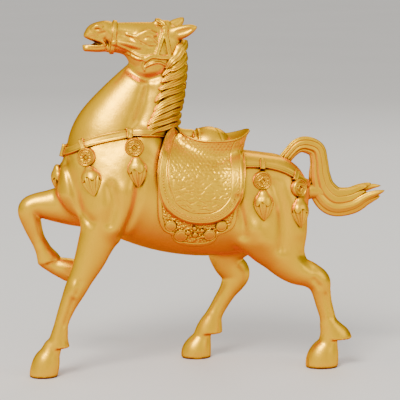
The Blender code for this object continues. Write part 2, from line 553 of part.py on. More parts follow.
def surface_nets(field, low, step):
    """Vertices and quads of the surface where the field changes sign."""
    inside = field < 0.0
    corners = [(i, j, k) for i in (0, 1) for j in (0, 1) for k in (0, 1)]
    size = np.array(field.shape) - 1
    count = sum(inside[i:i + size[0], j:j + size[1], k:k + size[2]].astype(int)
                for i, j, k in corners)
    cells = np.argwhere((count > 0) & (count < 8))
    index = np.full(size, -1)
    index[tuple(cells.T)] = np.arange(len(cells))
    total = np.zeros((len(cells), 3))
    hits = np.zeros(len(cells))
    for a in corners:
        for axis in range(3):
            if a[axis] == 1:
                continue
            b = tuple(a[n] + (n == axis) for n in range(3))
            first = field[tuple((cells + a).T)]
            second = field[tuple((cells + b).T)]
            crossed = (first < 0.0) != (second < 0.0)
            share = np.where(crossed, first / np.where(crossed, first - second, 1.0), 0.0)
            spot = np.array(a) + share[:, None] * (np.array(b) - np.array(a))
            total += spot * crossed[:, None]
            hits += crossed
    vertices = low + step * (cells + total / hits[:, None])
    quads = []
    for axis in range(3):
        first = np.take(inside, range(size[axis]), axis=axis)
        second = np.take(inside, range(1, size[axis] + 1), axis=axis)
        for edge, flip in ((first & ~second, False), (~first & second, True)):
            spots = np.argwhere(edge)
            u, v = (axis + 1) % 3, (axis + 2) % 3
            spots = spots[(spots[:, u] > 0) & (spots[:, v] > 0)]
            ring = []
            for du, dv in ((-1, -1), (0, -1), (0, 0), (-1, 0)):
                cell = spots.copy()
                cell[:, u] += du
                cell[:, v] += dv
                ring.append(index[tuple(cell.T)])
            ring = np.column_stack(ring)
            quads.append(ring[:, ::-1] if flip else ring)
    return vertices, np.vstack(quads)


def largest_shell(vertices, quads):
    """The mesh without the tiny voids shut in between two locks of hair."""
    label = np.arange(len(vertices))
    while True:
        lowest = label.copy()
        np.minimum.at(lowest, quads, label[quads].min(axis=1)[:, None])
        lowest = lowest[lowest]
        if (lowest == label).all():
            break
        label = lowest
    kept = label == np.bincount(label).argmax()
    number = np.cumsum(kept) - 1
    return vertices[kept], number[quads[kept[quads[:, 0]]]]


def gilt_material():
    """Satin gilt brass."""
    material = bpy.data.materials.new("gilt brass")
    material.use_nodes = True
    shader = material.node_tree.nodes["Principled BSDF"]
    shader.inputs["Base Color"].default_value = (0.90, 0.56, 0.16, 1.0)
    shader.inputs["Metallic"].default_value = 1.0
    shader.inputs["Roughness"].default_value = 0.42
    return material


def thin_and_trim(raw, name):
    """Thin the meshed figure, cut it flat under the hooves and centre it over the origin."""
    scratch = bpy.data.objects.new(name + " raw", raw)
    bpy.context.collection.objects.link(scratch)
    thin = scratch.modifiers.new("Thin", "DECIMATE")
    faces = sum(len(p.vertices) - 2 for p in raw.polygons)
    thin.ratio = TRIANGLES / faces
    graph = bpy.context.evaluated_depsgraph_get()
    mesh = bpy.data.meshes.new_from_object(scratch.evaluated_get(graph))
    bpy.data.objects.remove(scratch)
    work = bmesh.new()
    work.from_mesh(mesh)
    cut = bmesh.ops.bisect_plane(work, geom=work.verts[:] + work.edges[:] + work.faces[:],
                                 dist=1e-6, plane_co=(0, 0, 0), plane_no=(0, 0, -1),
                                 clear_outer=True)
    rim = [e for e in cut["geom_cut"] if isinstance(e, bmesh.types.BMEdge)]
    bmesh.ops.holes_fill(work, edges=rim)
    bmesh.ops.triangulate(work, faces=work.faces[:])
    xs = [v.co.x for v in work.verts]
    ys = [v.co.y for v in work.verts]
    middle = ((min(xs) + max(xs)) / 2, (min(ys) + max(ys)) / 2, 0.0)
    bmesh.ops.translate(work, vec=[-c for c in middle], verts=work.verts)
    bmesh.ops.recalc_face_normals(work, faces=work.faces[:])
    mesh = bpy.data.meshes.new(name)
    work.to_mesh(mesh)
    work.free()
    return mesh


def figure_box():
    """The corners of a box that holds every form with room to spare."""
    rows = [np.asarray(form[1]) for group in (TRUNK, NECK, HEAD, LEGS, SKIRTS, HOOVES)
            for form in group.values()]
    tail = np.asarray(TAIL_LINE)
    rows.append(np.column_stack([tail[:, 0], 0.0 * tail[:, 0], tail[:, 1], tail[:, 2], tail[:, 2]]))
    rows = np.vstack(rows)
    room = GRID_ROOM + units(BLANKET_THICKNESS + FLAP_THICKNESS + TASSEL_DIAMETER)
    low = (rows[:, :3] - rows[:, [3, 4, 3]]).min(axis=0) - room
    high = (rows[:, :3] + rows[:, [3, 4, 3]]).max(axis=0) + room
    seat = np.array([SEAT_MIDDLE[0] + SEAT_HALF[0], SEAT_HALF[1], SEAT_MIDDLE[1] + POMMEL_RISE])
    low[2] = -units(SOLE_TRIM) - GRID_ROOM
    return low, np.maximum(high, seat + room)


def build_horse():
    """Sculpt, mesh and finish the figure."""
    low, high = figure_box()
    field = single_sheets(sample_field(low, high, GRID_STEP, GRID_LEVELS), GRID_STEP)
    vertices, quads = largest_shell(*surface_nets(field, low, GRID_STEP))
    raw = bpy.data.meshes.new("horse raw")
    raw.from_pydata((vertices * UNIT).tolist(), [], quads.tolist())
    mesh = thin_and_trim(raw, "horse")
    mesh.shade_smooth()
    mesh.set_sharp_from_angle(angle=math.radians(50))
    horse = bpy.data.objects.new("horse", mesh)
    horse.data.materials.append(gilt_material())
    bpy.context.collection.objects.link(horse)
    return horse


for old in list(bpy.data.objects):
    bpy.data.objects.remove(old)
build_horse()
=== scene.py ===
"""Prancing horse figurine in gilt brass: the looks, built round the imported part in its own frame.

The anatomy is a distance field of soft tapered forms, meshed twice: the body on a coarse grid and
the head on a fine one. Harness, saddle, hair and pendants are laid on that skin as fine meshes.
Everything is written in figure units of one millimetre, with the head towards -x, the near side
towards -y and the ground at z = 0, and moved into the row frame when a mesh is made.
"""
import itertools
import logging
import math
from dataclasses import dataclass, field
from enum import Enum
from typing import Callable

import bpy
import numpy as np
from mathutils import Matrix, Vector


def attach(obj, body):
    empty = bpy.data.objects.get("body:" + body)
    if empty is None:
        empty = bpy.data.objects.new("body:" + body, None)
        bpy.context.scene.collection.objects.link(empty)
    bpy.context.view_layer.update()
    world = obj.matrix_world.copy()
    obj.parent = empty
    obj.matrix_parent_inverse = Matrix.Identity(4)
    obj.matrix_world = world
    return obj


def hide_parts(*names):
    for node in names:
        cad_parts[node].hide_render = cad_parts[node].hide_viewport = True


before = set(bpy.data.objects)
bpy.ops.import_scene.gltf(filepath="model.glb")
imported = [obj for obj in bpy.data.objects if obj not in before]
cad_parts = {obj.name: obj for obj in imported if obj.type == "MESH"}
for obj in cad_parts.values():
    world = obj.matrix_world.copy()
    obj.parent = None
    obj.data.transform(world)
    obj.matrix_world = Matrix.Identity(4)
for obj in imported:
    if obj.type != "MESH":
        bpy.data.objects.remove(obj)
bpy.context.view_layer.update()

LOG = logging.getLogger("horse")
NODE = "horse"
BODY = "root"
# Metres in a figure unit, and the figure's place in the row frame.
UNIT = 0.001
FIGURE_SHIFT = np.array([-1.544, 0.006, 0.0])
# The distance that stands for far away, and the margins and roundings of forms and creases.
FAR = 60.0
FORM_MARGIN = 1.5
CUT_ROUNDING = 0.4
CREASE_REACH = 2.2
CREASE_FADE = 4.0
# Where the scan for the skin starts, its step, and how deep things laid on the skin sink into it.
SCAN_START = 24.5
SCAN_STEP = 0.5
SINK = 0.8
BEAD_RADIUS = 0.3
BEAD_SPACING = 1.2

CORNERS = list(itertools.product((0, 1), repeat=3))

Array = np.ndarray
Rows = list[tuple[float, ...]]
Triple = tuple[float, float, float]
Material = bpy.types.Material
Object = bpy.types.Object
Socket = bpy.types.NodeSocket
Tree = bpy.types.NodeTree


class Side(Enum):
    """The two sides of the horse, valued by the sign of y."""

    NEAR = -1.0
    FAR = 1.0


# Curves and distances.


def smooth_path(rows: Rows | Array, steps: int = 4) -> Array:
    """Catmull-Rom curve through rows of numbers.

    Args:
        rows: the stations, any number of columns.
        steps: points for each span between two stations.

    Returns:
        The curve's points, last station included.
    """
    rows = np.asarray(rows, dtype=float)
    padded = np.vstack([2 * rows[0] - rows[1], rows, 2 * rows[-1] - rows[-2]])
    out = []
    for i in range(1, len(padded) - 2):
        p0, p1, p2, p3 = padded[i - 1:i + 3]
        for t in np.arange(steps) / steps:
            out.append(0.5 * (2 * p1 + (p2 - p0) * t + (2 * p0 - 5 * p1 + 4 * p2 - p3) * t ** 2
                              + (3 * p1 - p0 - 3 * p2 + p3) * t ** 3))
    out.append(padded[-2])
    return np.array(out)


def even_path(points: Array, step: float) -> Array:
    """The same curve with its points an even distance apart."""
    lengths = np.linalg.norm(np.diff(points[:, :3], axis=0), axis=1)
    along = np.concatenate([[0.0], np.cumsum(lengths)])
    spots = np.linspace(0.0, along[-1], max(int(round(along[-1] / step)), 2) + 1)
    return np.column_stack([np.interp(spots, along, points[:, n]) for n in range(points.shape[1])])


def soft_union(a: Array, b: Array, radius: float) -> Array:
    """The lower of two distances, melted together over a radius."""
    overlap = np.maximum(radius - np.abs(a - b), 0.0) / radius
    return np.minimum(a, b) - overlap * overlap * radius * 0.25


def soft_cut(a: Array, b: Array, radius: float) -> Array:
    """The higher of two distances, rounded over a radius."""
    return -soft_union(-a, -b, radius)


def smooth_step(low: float, high: float, values: Array) -> Array:
    """A soft ramp from 0 at low to 1 at high."""
    share = np.clip((values - low) / (high - low), 0.0, 1.0)
    return share * share * (3.0 - 2.0 * share)


def bump(values: Array, middle: float, width: float) -> Array:
    """A smooth bump, 1 high at its middle."""
    return np.exp(-((values - middle) / width) ** 2)


def full_turn(count: int) -> Array:
    """Angles evenly round a circle."""
    return np.linspace(0.0, 2 * math.pi, count, endpoint=False)


def directions(line: Array) -> Array:
    """Unit directions along a line of points."""
    step = np.gradient(line, axis=0)
    return step / np.linalg.norm(step, axis=1)[:, None]


def side_path(rows: Rows | Array, step: float) -> Array:
    """Even points in the middle plane, along the curve through rows of x and z."""
    return even_path(np.insert(smooth_path(rows, 8), 1, 0.0, axis=1), step)


def resample(rows: Array, count: int, closed: bool = False) -> Array:
    """Pick rows evenly by number, between the given ones.

    Args:
        rows: the given rows.
        count: how many to pick.
        closed: leave out the last row, because it repeats the first.

    Returns:
        The picked rows.
    """
    spots = np.linspace(0.0, len(rows) - 1.0, count, endpoint=not closed)
    return np.column_stack([np.interp(spots, np.arange(len(rows)), column) for column in rows.T])


def tube_distance(points: Array, rows: Array) -> Array:
    """Distance to a tube through rows of x, y, z, half depth (in the side view) and half width."""
    best = np.full(len(points), FAR)
    for start, end in zip(rows[:-1], rows[1:]):
        axis = end[:3] - start[:3]
        share = np.clip((points - start[:3]) @ axis / max(axis @ axis, 1e-9), 0.0, 1.0)
        here = start + share[:, None] * (end - start)
        off = points - here[:, :3]
        depth = np.hypot(off[:, 0], off[:, 2]) / here[:, 3]
        side = off[:, 1] / here[:, 4]
        ratio = np.hypot(depth, side)
        slope = np.hypot(depth / here[:, 3], side / here[:, 4])
        form = np.where(slope > 1e-6, ratio * (ratio - 1.0) / np.maximum(slope, 1e-6), -here[:, 4])
        best = np.minimum(best, form)
    return best


def line_distance(x: Array, z: Array, line: Array) -> Array:
    """Distance in the side view to an open line of x and z points."""
    best = np.full(x.shape, FAR)
    for (x0, z0), (x1, z1) in zip(line[:-1], line[1:]):
        ax, az = x1 - x0, z1 - z0
        share = np.clip(((x - x0) * ax + (z - z0) * az) / max(ax * ax + az * az, 1e-9), 0.0, 1.0)
        best = np.minimum(best, np.hypot(x - x0 - share * ax, z - z0 - share * az))
    return best


def value_noise(x: Array, z: Array, cell: float, seed: int) -> Array:
    """Smooth random bumps from 0 to 1 on a lattice."""
    table = np.random.default_rng(seed).random((256, 256))
    u, v = x / cell + 1000.0, z / cell + 1000.0
    i, j = np.floor(u).astype(int), np.floor(v).astype(int)
    fu, fv = smooth_step(0, 1, u - i), smooth_step(0, 1, v - j)
    a, b = table[i % 256, j % 256], table[(i + 1) % 256, j % 256]
    c, d = table[i % 256, (j + 1) % 256], table[(i + 1) % 256, (j + 1) % 256]
    return (a * (1 - fu) + b * fu) * (1 - fv) + (c * (1 - fu) + d * fu) * fv


def pebbles(x: Array, z: Array, cell: float, seed: int) -> Array:
    """Distance to the nearest of many scattered points, in cells."""
    table = np.random.default_rng(seed).random((64, 64, 2))
    column, row = np.floor(x / cell).astype(int), np.floor(z / cell).astype(int)
    nearest = np.full(x.shape, FAR)
    for i, j in itertools.product((-1, 0, 1), repeat=2):
        spot = table[(column + i) % 64, (row + j) % 64]
        nearest = np.minimum(nearest, np.hypot(x / cell - column - i - spot[..., 0],
                                               z / cell - row - j - spot[..., 1]))
    return nearest


# Anatomy.


@dataclass(frozen=True)
class Form:
    """A soft tapered form of the anatomy.

    Rows hold x, y, z, half depth in the side view and half width. A cut form ends flat: cut gives
    x, z of a point on the cut and its outward direction.
    """

    blend: float
    rows: Rows
    cut: tuple[float, float, float, float] | None = None
    pair: bool = False
    steps: int = 6

    def sides(self) -> list[Array]:
        """The form's smooth rows, and the mirrored ones if it comes in a pair."""
        rows = smooth_path(self.rows, self.steps)
        if not self.pair:
            return [rows]
        return [rows, rows * np.array([1.0, -1.0, 1.0, 1.0, 1.0])]

    def melt_into(self, distance: Array, points: Array, sink: bool = False) -> None:
        """Add the form to the distances at points, or sink it into them as a hollow."""
        for rows in self.sides():
            reach = rows[:, 3:].max() + self.blend + FORM_MARGIN
            near = np.all((points > rows[:, :3].min(axis=0) - reach)
                          & (points < rows[:, :3].max(axis=0) + reach), axis=1)
            if not near.any():
                continue
            form = tube_distance(points[near], rows)
            if self.cut:
                x, z, nx, nz = self.cut
                past = (points[near][:, 0] - x) * nx + (points[near][:, 2] - z) * nz
                form = soft_cut(form, past, CUT_ROUNDING)
            if sink:
                distance[near] = soft_cut(distance[near], -form, self.blend)
            else:
                distance[near] = soft_union(distance[near], form, self.blend)


def both_sides(blend: float, rows: Rows) -> list[Form]:
    """The near and the far form of a pair, which the turned head sets unevenly.

    Args:
        blend: the radius that melts them in.
        rows: x, near y, far y, z, half depth and half width.

    Returns:
        The two forms.
    """
    return [Form(blend, [(row[0], row[pick], *row[3:]) for row in rows]) for pick in (1, 2)]


@dataclass(frozen=True)
class Crease:
    """A fold pressed into the skin along a line in the side view, or a swell if its depth is below 0."""

    width: float
    depth: float
    line: Rows
    sides: tuple[Side, ...] = (Side.NEAR, Side.FAR)
    inner: float = 2.0

    def press(self, distance: Array, points: Array) -> None:
        """Change the distances at points by the fold or swell."""
        line = smooth_path(self.line)
        reach = CREASE_REACH * self.width
        x, z = points[:, 0], points[:, 2]
        near = ((x > line[:, 0].min() - reach) & (x < line[:, 0].max() + reach)
                & (z > line[:, 1].min() - reach) & (z < line[:, 1].max() + reach))
        share = bump(line_distance(x[near], z[near], line), 0.0, self.width)
        for side in self.sides:
            across = side.value * points[near, 1]
            distance[near] += self.depth * share * smooth_step(self.inner, self.inner + CREASE_FADE, across)


@dataclass(frozen=True)
class Anatomy:
    """The bare horse."""

    trunk: list[Form] = field(default_factory=lambda: [
        Form(4.0, [(-42, 0, 74, 14.3, 13.5), (-30, 0, 72.5, 19.5, 16.8), (-14, 0, 69.2, 22.3, 18.3),
                   (2, 0, 66.2, 21.7, 18.4), (16, 0, 66.2, 20, 17.8), (27.4, 0, 67, 16.7, 16)]),
        Form(5.0, [(17, -6.5, 73, 12.2, 9.5), (28.7, -7, 72, 12.3, 9)], pair=True),
        Form(2.0, [(-18, 0, 91, 5, 3.2), (-4, 0, 91, 4.5, 3.2)]),
        Form(1.5, [(41, 0, 70.5, 3.4, 2.8), (49, 0, 69.5, 3.4, 2.8)]),
        Form(3.5, [(-43.5, -6.8, 80, 10.5, 7.2), (-46, -6.5, 71, 9.5, 7)], pair=True),
        Form(4.5, [(-24, -9.5, 87, 8.5, 6.5), (-33, -11.5, 74, 11.5, 7.5), (-38, -12, 64, 10.5, 7)]),
        Form(4.5, [(-24, 9.5, 87, 8.5, 6.5), (-33, 11.5, 74, 11.5, 7.5), (-40, 11.5, 66, 10.5, 7)]),
        Form(5.0, [(-33.7, 0, 84.2, 19.7, 14), (-32.6, 0, 88.8, 19.9, 13.3), (-30.5, 0, 93.3, 19.2, 12.4),
                   (-25.8, 0, 102, 16.4, 10.6),
                   (-20.5, 0, 112, 12.4, 8.8), (-15.9, 0, 120.5, 8.6, 7.2), (-14.2, 0, 127.5, 6.8, 6)]),
    ])
    head: list[Form] = field(default_factory=lambda: [
        Form(2.5, [(-13.5, -0.4, 131.2, 6.3, 5.6), (-20, -1, 128.9, 8.6, 6.3), (-27, -1.8, 131, 6.7, 5.3),
                   (-33, -2.5, 132.4, 5.1, 4.4), (-38, -3, 133.9, 4.3, 4)]),
        Form(1.0, [(-16, -0.5, 135.9, 2, 2.2), (-28, -1.9, 135.8, 1.9, 2), (-37, -2.9, 136, 1.9, 1.8)]),
        Form(1.5, [(-19.3, -1, 124.6, 6.9, 6.9), (-22.5, -1.2, 126.2, 6.4, 6.6)]),
        Form(1.6, [(-38, -3, 134, 4.3, 4.1), (-41.5, -3.3, 134.1, 3.6, 3.9), (-44.6, -3.5, 133.2, 1.5, 2.9)]),
        Form(1.6, [(-30, -2.2, 129.3, 3.2, 3.6), (-36, -2.8, 128.4, 2.1, 3.2)]),
        Form(0.8, [(-36, -2.8, 128.5, 1.9, 3), (-40.5, -3.1, 127.9, 1.5, 2.9), (-45.2, -3.5, 128, 1.3, 2.2)]),
        Form(0.8, [(-37, -2.9, 129.4, 1.4, 1.7), (-42, -3.2, 129, 0.9, 1.5)]),
        *both_sides(0.6, [(-22, -7, 4.9, 128.4, 1.1, 0.9), (-27, -6.7, 3.3, 129.4, 1.1, 0.9),
                          (-32, -6, 1.4, 130.6, 0.9, 0.7)]),
        Form(0.8, [(-12.5, -3.6, 133, 2.6, 1.7), (-8, -4.6, 134, 2.7, 1.6), (-4.6, -5, 135.2, 1.9, 1.2),
                   (-2.4, -5, 135.9, 0.7, 0.7)]),
        Form(0.8, [(-12.8, 3, 134.5, 2.4, 1.7), (-9.4, 4, 136.4, 2.4, 1.6), (-7.2, 4.4, 138, 1.5, 1.2),
                   (-6.2, 4.5, 139, 0.6, 0.6)]),
        Form(0.8, [(-13, -0.5, 137, 1.6, 2.2), (-17.5, -1.2, 137.6, 1, 1.6)]),
    ])
    legs: list[Form] = field(default_factory=lambda: [
        Form(3.0, [(-37, -11, 63, 9.5, 6.5), (-41.6, -12, 54.8, 7.5, 6), (-45, -12.5, 46.4, 6.1, 5),
                   (-48.3, -12.8, 39.5, 4.8, 4.3), (-50.8, -13, 34.6, 4.3, 4.1), (-54, -13, 27.8, 3.3, 3.1),
                   (-56.3, -13, 21.6, 2.8, 2.7), (-57.3, -13, 16.5, 3.1, 2.8)]),
        Form(3.0, [(-42, 10, 64, 9, 6.2), (-49, 10.5, 63.2, 7.3, 5.6), (-57, 10.8, 64.2, 6.4, 5),
                   (-64.5, 11, 64.6, 4.8, 4.3), (-67.6, 11, 62.6, 4.5, 4.2), (-66.4, 11, 57, 3.8, 3.6),
                   (-64.7, 11, 52, 3.1, 2.9), (-62.7, 11, 47.8, 2.9, 2.8)]),
        Form(5.0, [(26.6, -8.5, 66, 13.2, 8.5), (28, -10.5, 57.2, 13.5, 8.2), (31.4, -11.6, 47.2, 9.1, 6.6),
                   (36.4, -12.2, 40.8, 6.5, 5), (42.3, -12.4, 37.9, 5.2, 4.2), (46, -12.4, 35.2, 4.8, 4),
                   (47.2, -12.3, 31.5, 3.9, 3.5), (48.3, -12.2, 26.6, 3.4, 3.1), (49.9, -12.1, 21, 3.2, 2.9),
                   (50.5, -12, 18, 3.3, 3)]),
        Form(5.0, [(19.4, -12, 57, 8, 5.5), (24.4, -12.2, 51.8, 7.1, 5.2)]),
        Form(5.0, [(24, 8.5, 66, 13.5, 8.5), (20, 10.5, 56, 12, 8.2), (13.2, 11.8, 46.5, 8.4, 6.5),
                   (13.2, 12.2, 39.6, 6.2, 5), (16.5, 12.4, 35, 6, 4.3), (15.9, 12.4, 31.6, 5, 4),
                   (13.6, 12.3, 27.6, 3.8, 3.4), (10.5, 12.2, 22.6, 3.4, 3), (8.2, 12.1, 18.5, 3.3, 3)]),
    ])
    feet: list[Form] = field(default_factory=lambda: [
        Form(0.9, [(-57.1, -13, 17.6, 2.9, 2.7), (-57.7, -13, 14.4, 3.7, 3.3), (-58, -13, 11, 4.7, 3.9),
                   (-58, -13, 9, 4.8, 4)], (-58, 11.3, 0, -1)),
        Form(0.9, [(51, -12, 16.6, 3.9, 3.3), (52.4, -12, 13.6, 5.2, 3.9), (53.6, -12, 11, 6.4, 4.4),
                   (53.8, -12, 9.4, 6.4, 4.4)], (53, 11.3, 0, -1)),
        Form(0.9, [(7.2, 12, 16.6, 3.5, 3.1), (6, 12, 12.6, 5, 3.8), (5.3, 12, 9.6, 5.8, 4.2),
                   (5.3, 12, 8.6, 5.8, 4.2)], (5, 9.9, 0, -1)),
        Form(0.9, [(-62.7, 11, 47.8, 2.9, 2.8), (-61.2, 11, 44.6, 3.7, 3.3), (-59.7, 11, 41.7, 4.7, 3.8),
                   (-59.4, 11, 40.8, 4.7, 3.8)], (-59.7, 41.7, 0.304, -0.953)),
        Form(0.6, [(-60.2, -13, 11.4, 3.6, 3.1), (-61.5, -13, 8.2, 4.2, 4), (-62.6, -13, 5.5, 5.3, 4.8),
                   (-63.4, -13, 2.5, 5.6, 5.2), (-63.8, -13, 0, 5.5, 5.2), (-64, -13, -4, 5.4, 5.2)],
             (-64, 0, 0, -1)),
        Form(0.6, [(50.6, -12, 11.4, 3.6, 3.2), (49.8, -12, 7.8, 4.5, 4.1), (48.7, -12, 5.2, 5.9, 4.9),
                   (48, -12, 2.5, 6.6, 5.4), (47.8, -12, 0, 6.5, 5.4), (47.8, -12, -4, 6.4, 5.4)],
             (48, 0, 0, -1)),
        Form(0.6, [(3.2, 12, 10, 3.2, 3), (2.2, 12, 6.9, 4.1, 3.8), (1.1, 12, 4.4, 5.3, 4.7),
                   (0.2, 12, 2, 6.1, 5.2), (0.2, 12, 0, 6.1, 5.2), (0.2, 12, -4, 6, 5.2)], (0, 0, 0, -1)),
        Form(0.6, [(-61, 11, 41.6, 3, 2.9), (-57, 11, 39.6, 3.6, 3.4), (-54.5, 11, 38.8, 4.2, 4),
                   (-51.5, 11, 37.8, 4.8, 4.4), (-49.5, 11, 37.2, 4.7, 4.4), (-46.5, 11, 36.2, 4.6, 4.3)],
             (-49, 37, 0.95, -0.31)),
    ])
    hollows: list[Form] = field(default_factory=lambda: both_sides(0.8, [
        (-24.5, -8.4, 6.2, 132.8, 1.6, 1.3), (-31.5, -7.4, 2.9, 133.9, 1.4, 1.1)]))
    creases: list[Crease] = field(default_factory=lambda: [
        Crease(1.8, 1.44, [(-53.4, 84), (-52, 79), (-50.8, 74), (-49.6, 69.3), (-47.6, 65), (-45, 61.5)],
               inner=1.0),
        Crease(4.0, -0.96, [(-56, 80), (-55.6, 72)], inner=0.0),
        Crease(4.5, -1.28, [(-43.5, 73), (-41.5, 68.5)]),
        Crease(2.0, 1.2, [(-37, 75), (-36.3, 68), (-37.6, 61)]),
        Crease(4.2, -1.28, [(-31.5, 73), (-31.6, 66), (-34.5, 59)], (Side.NEAR,)),
        Crease(1.9, 1.6, [(-26, 78), (-26.9, 71), (-28.9, 64), (-32.6, 55.4)], (Side.NEAR,)),
        Crease(1.9, 1.5, [(-26, 78), (-27.5, 70), (-31.5, 63), (-38, 58)], (Side.FAR,)),
        Crease(4.6, -1.6, [(20.2, 57), (21.6, 53.2)], (Side.NEAR,)),
        Crease(1.9, 1.5, [(12.2, 70), (13.8, 64), (14.8, 59), (15.2, 55)], (Side.NEAR,)),
        Crease(2.4, 1.6, [(27.5, 74), (29.8, 66), (30.8, 58), (30.2, 50)], (Side.NEAR,)),
        Crease(3.2, -0.8, [(37, 66), (37.6, 56)], (Side.NEAR,)),
        Crease(1.5, 0.7, [(38.4, 46.2), (41, 43), (43.4, 40.6)], (Side.NEAR,)),
        Crease(4.6, -1.28, [(12.6, 55), (12.4, 50)], (Side.FAR,)),
        Crease(2.2, 1.2, [(6.6, 68), (5.8, 63), (5.6, 58)], (Side.FAR,)),
        Crease(2.2, 1.28, [(24, 74), (22.5, 64), (19, 54)], (Side.FAR,)),
        Crease(2.4, 0.96, [(-21.4, 112), (-25, 103), (-28, 96)]),
        Crease(0.7, 0.64, [(-52, 31), (-53.8, 26), (-55.6, 20.5)], (Side.NEAR,), 10.0),
        Crease(0.7, 0.64, [(48.4, 30), (49.4, 25), (50.9, 20.5)], (Side.NEAR,), 9.0),
        Crease(0.7, 0.64, [(15.4, 27.5), (12.6, 22.5), (10.2, 19)], (Side.FAR,), 9.0),
        Crease(2.0, -0.56, [(-51.6, 36), (-52.4, 33.4)], (Side.NEAR,), 8.0),
        Crease(0.8, 0.56, [(-49.5, 38), (-50, 35.5), (-51, 33)], (Side.NEAR,), 10.0),
        Crease(1.0, 0.72, [(43.6, 36.4), (45.8, 33.6)], (Side.NEAR,), 9.0),
        Crease(2.8, 1.1, [(-20.5, 115), (-21.3, 110), (-21.8, 105.7), (-24.5, 100)]),
        Crease(1.7, 1.5, [(-30.4, 124.4), (-29.4, 121.4), (-27.8, 119.2), (-24.8, 116.9), (-21.2, 116.1),
                          (-16.4, 117.4), (-13.4, 119.8)], inner=1.5),
        Crease(3.6, -0.8, [(-24.8, 121.8), (-20, 120.6)], inner=0.5),
        Crease(1.4, -0.85, [(-21.9, 131.2), (-20.9, 131.1)]),
        Crease(0.55, 0.5, [(-25.0, 131.2), (-23.9, 132.3), (-22.6, 133.1), (-20.9, 133.0), (-19.6, 132.1)]),
        Crease(0.5, 0.38, [(-24.4, 130.7), (-22.7, 129.5), (-20.7, 128.9), (-19.8, 129.0)]),
        Crease(0.8, -0.6, [(-25.8, 132.8), (-23.8, 134.3), (-21.0, 134.8), (-18.4, 133.4)]),
        Crease(0.9, -0.55, [(-33.5, 130.4), (-29.0, 129.8), (-24.8, 128.4)]),
        Crease(1.6, 0.6, [(-32.4, 133.2), (-28.4, 132.2)]),
        Crease(0.45, -0.4, [(-29.2, 133.5), (-27.2, 133.0), (-25.5, 132.4)]),
        Crease(0.6, 0.5, [(-41.4, 136.0), (-40.6, 135.7)]),
        Crease(0.7, 0.6, [(-38.0, 131.6), (-37.0, 129.4), (-37.2, 127.6)]),
        Crease(1.2, 0.45, [(-40.5, 133.6), (-37.6, 133.0)]),
    ])

    def distance(self, points: Array) -> Array:
        """Distance from points to the bare horse's skin."""
        distance = np.full(len(points), FAR)
        for form in self.trunk + self.head + self.legs + self.feet:
            form.melt_into(distance, points)
        for form in self.hollows:
            form.melt_into(distance, points, sink=True)
        for crease in self.creases:
            crease.press(distance, points)
        return distance


class Field:
    """A distance field sampled on a grid, finer levels only near the surface."""

    def __init__(self, shape: Callable[[Array], Array], low: tuple, high: tuple, step: float,
                 levels: int = 2, reach: float = 0.8) -> None:
        """Sample a shape.

        Args:
            shape: distance of an array of points.
            low: lowest corner of the grid.
            high: highest corner of the grid.
            step: grid step of the finest level.
            levels: number of halvings from the coarsest grid.
            reach: how far from the surface the finest level is true, at least.
        """
        self.low = np.array(low, dtype=float)
        self.step = step
        coarse = step * 2 ** levels
        counts = np.ceil((np.array(high) - self.low) / coarse).astype(int) + 1
        values = np.zeros(counts)
        near = np.ones(counts, dtype=bool)
        for level in range(levels + 1):
            if level:
                coarse /= 2
                values = values.repeat(2, axis=0).repeat(2, axis=1).repeat(2, axis=2)
                near = np.abs(values) < 1.75 * coarse + reach
            values[near] = shape(self.low + coarse * np.argwhere(near))
        self.values = values
        self.slopes = np.stack(np.gradient(values, step), axis=-1)

    def heights(self) -> Array:
        """Heights of the grid's layers."""
        return self.low[2] + self.step * np.arange(self.values.shape[2])

    def sample(self, points: Array) -> tuple[Array, Array]:
        """Distance and outward direction at points, between the grid's corners."""
        spot = np.clip((points - self.low) / self.step, 0.0, np.array(self.values.shape) - 1.001)
        base = spot.astype(int)
        share = spot - base
        distance = np.zeros(len(points))
        normal = np.zeros((len(points), 3))
        for offset in CORNERS:
            corner = tuple((base + offset).T)
            weight = np.prod(np.abs(1 - np.array(offset) - share), axis=1)
            distance += weight * self.values[corner]
            normal += weight[:, None] * self.slopes[corner]
        return distance, normal / np.maximum(np.linalg.norm(normal, axis=1), 1e-6)[:, None]

    def drape(self, points: Array, rounds: int = 3) -> tuple[Array, Array]:
        """Points moved straight on to the skin, and the skin's outward directions there."""
        points = np.array(points, dtype=float)
        for _ in range(rounds):
            distance, normal = self.sample(points)
            points -= np.clip(distance, -1.5, 1.5)[:, None] * normal
        return points, self.sample(points)[1]

    def side_depth(self, x: Array, z: Array, side: Side, default: float = 0.0) -> Array:
        """How far out from the middle plane the skin lies.

        Args:
            x: places along the figure.
            z: heights, the same shape as x.
            side: the side that the lines across the figure come from.
            default: the answer where a line misses the figure.

        Returns:
            Distances from the middle plane, the same shape as x.
        """
        found = np.full(x.size, np.nan)
        last = None
        for across in np.arange(SCAN_START, -0.01, -SCAN_STEP):
            points = np.column_stack([x.ravel(), np.full(x.size, side.value * across), z.ravel()])
            here = self.sample(points)[0]
            if last is not None:
                hit = np.isnan(found) & (here < 0.0) & (last >= 0.0)
                share = last[hit] / (last[hit] - here[hit])
                found[hit] = across + SCAN_STEP * (1.0 - share)
            last = here
        return np.where(np.isnan(found), default, found).reshape(x.shape)

    def side_point(self, x: float, z: float, side: Side) -> Array:
        """The point of the skin at x and z, on one side."""
        depth = self.side_depth(np.array([x]), np.array([z]), side)[0]
        return np.array([x, side.value * depth, z])


# Meshes.


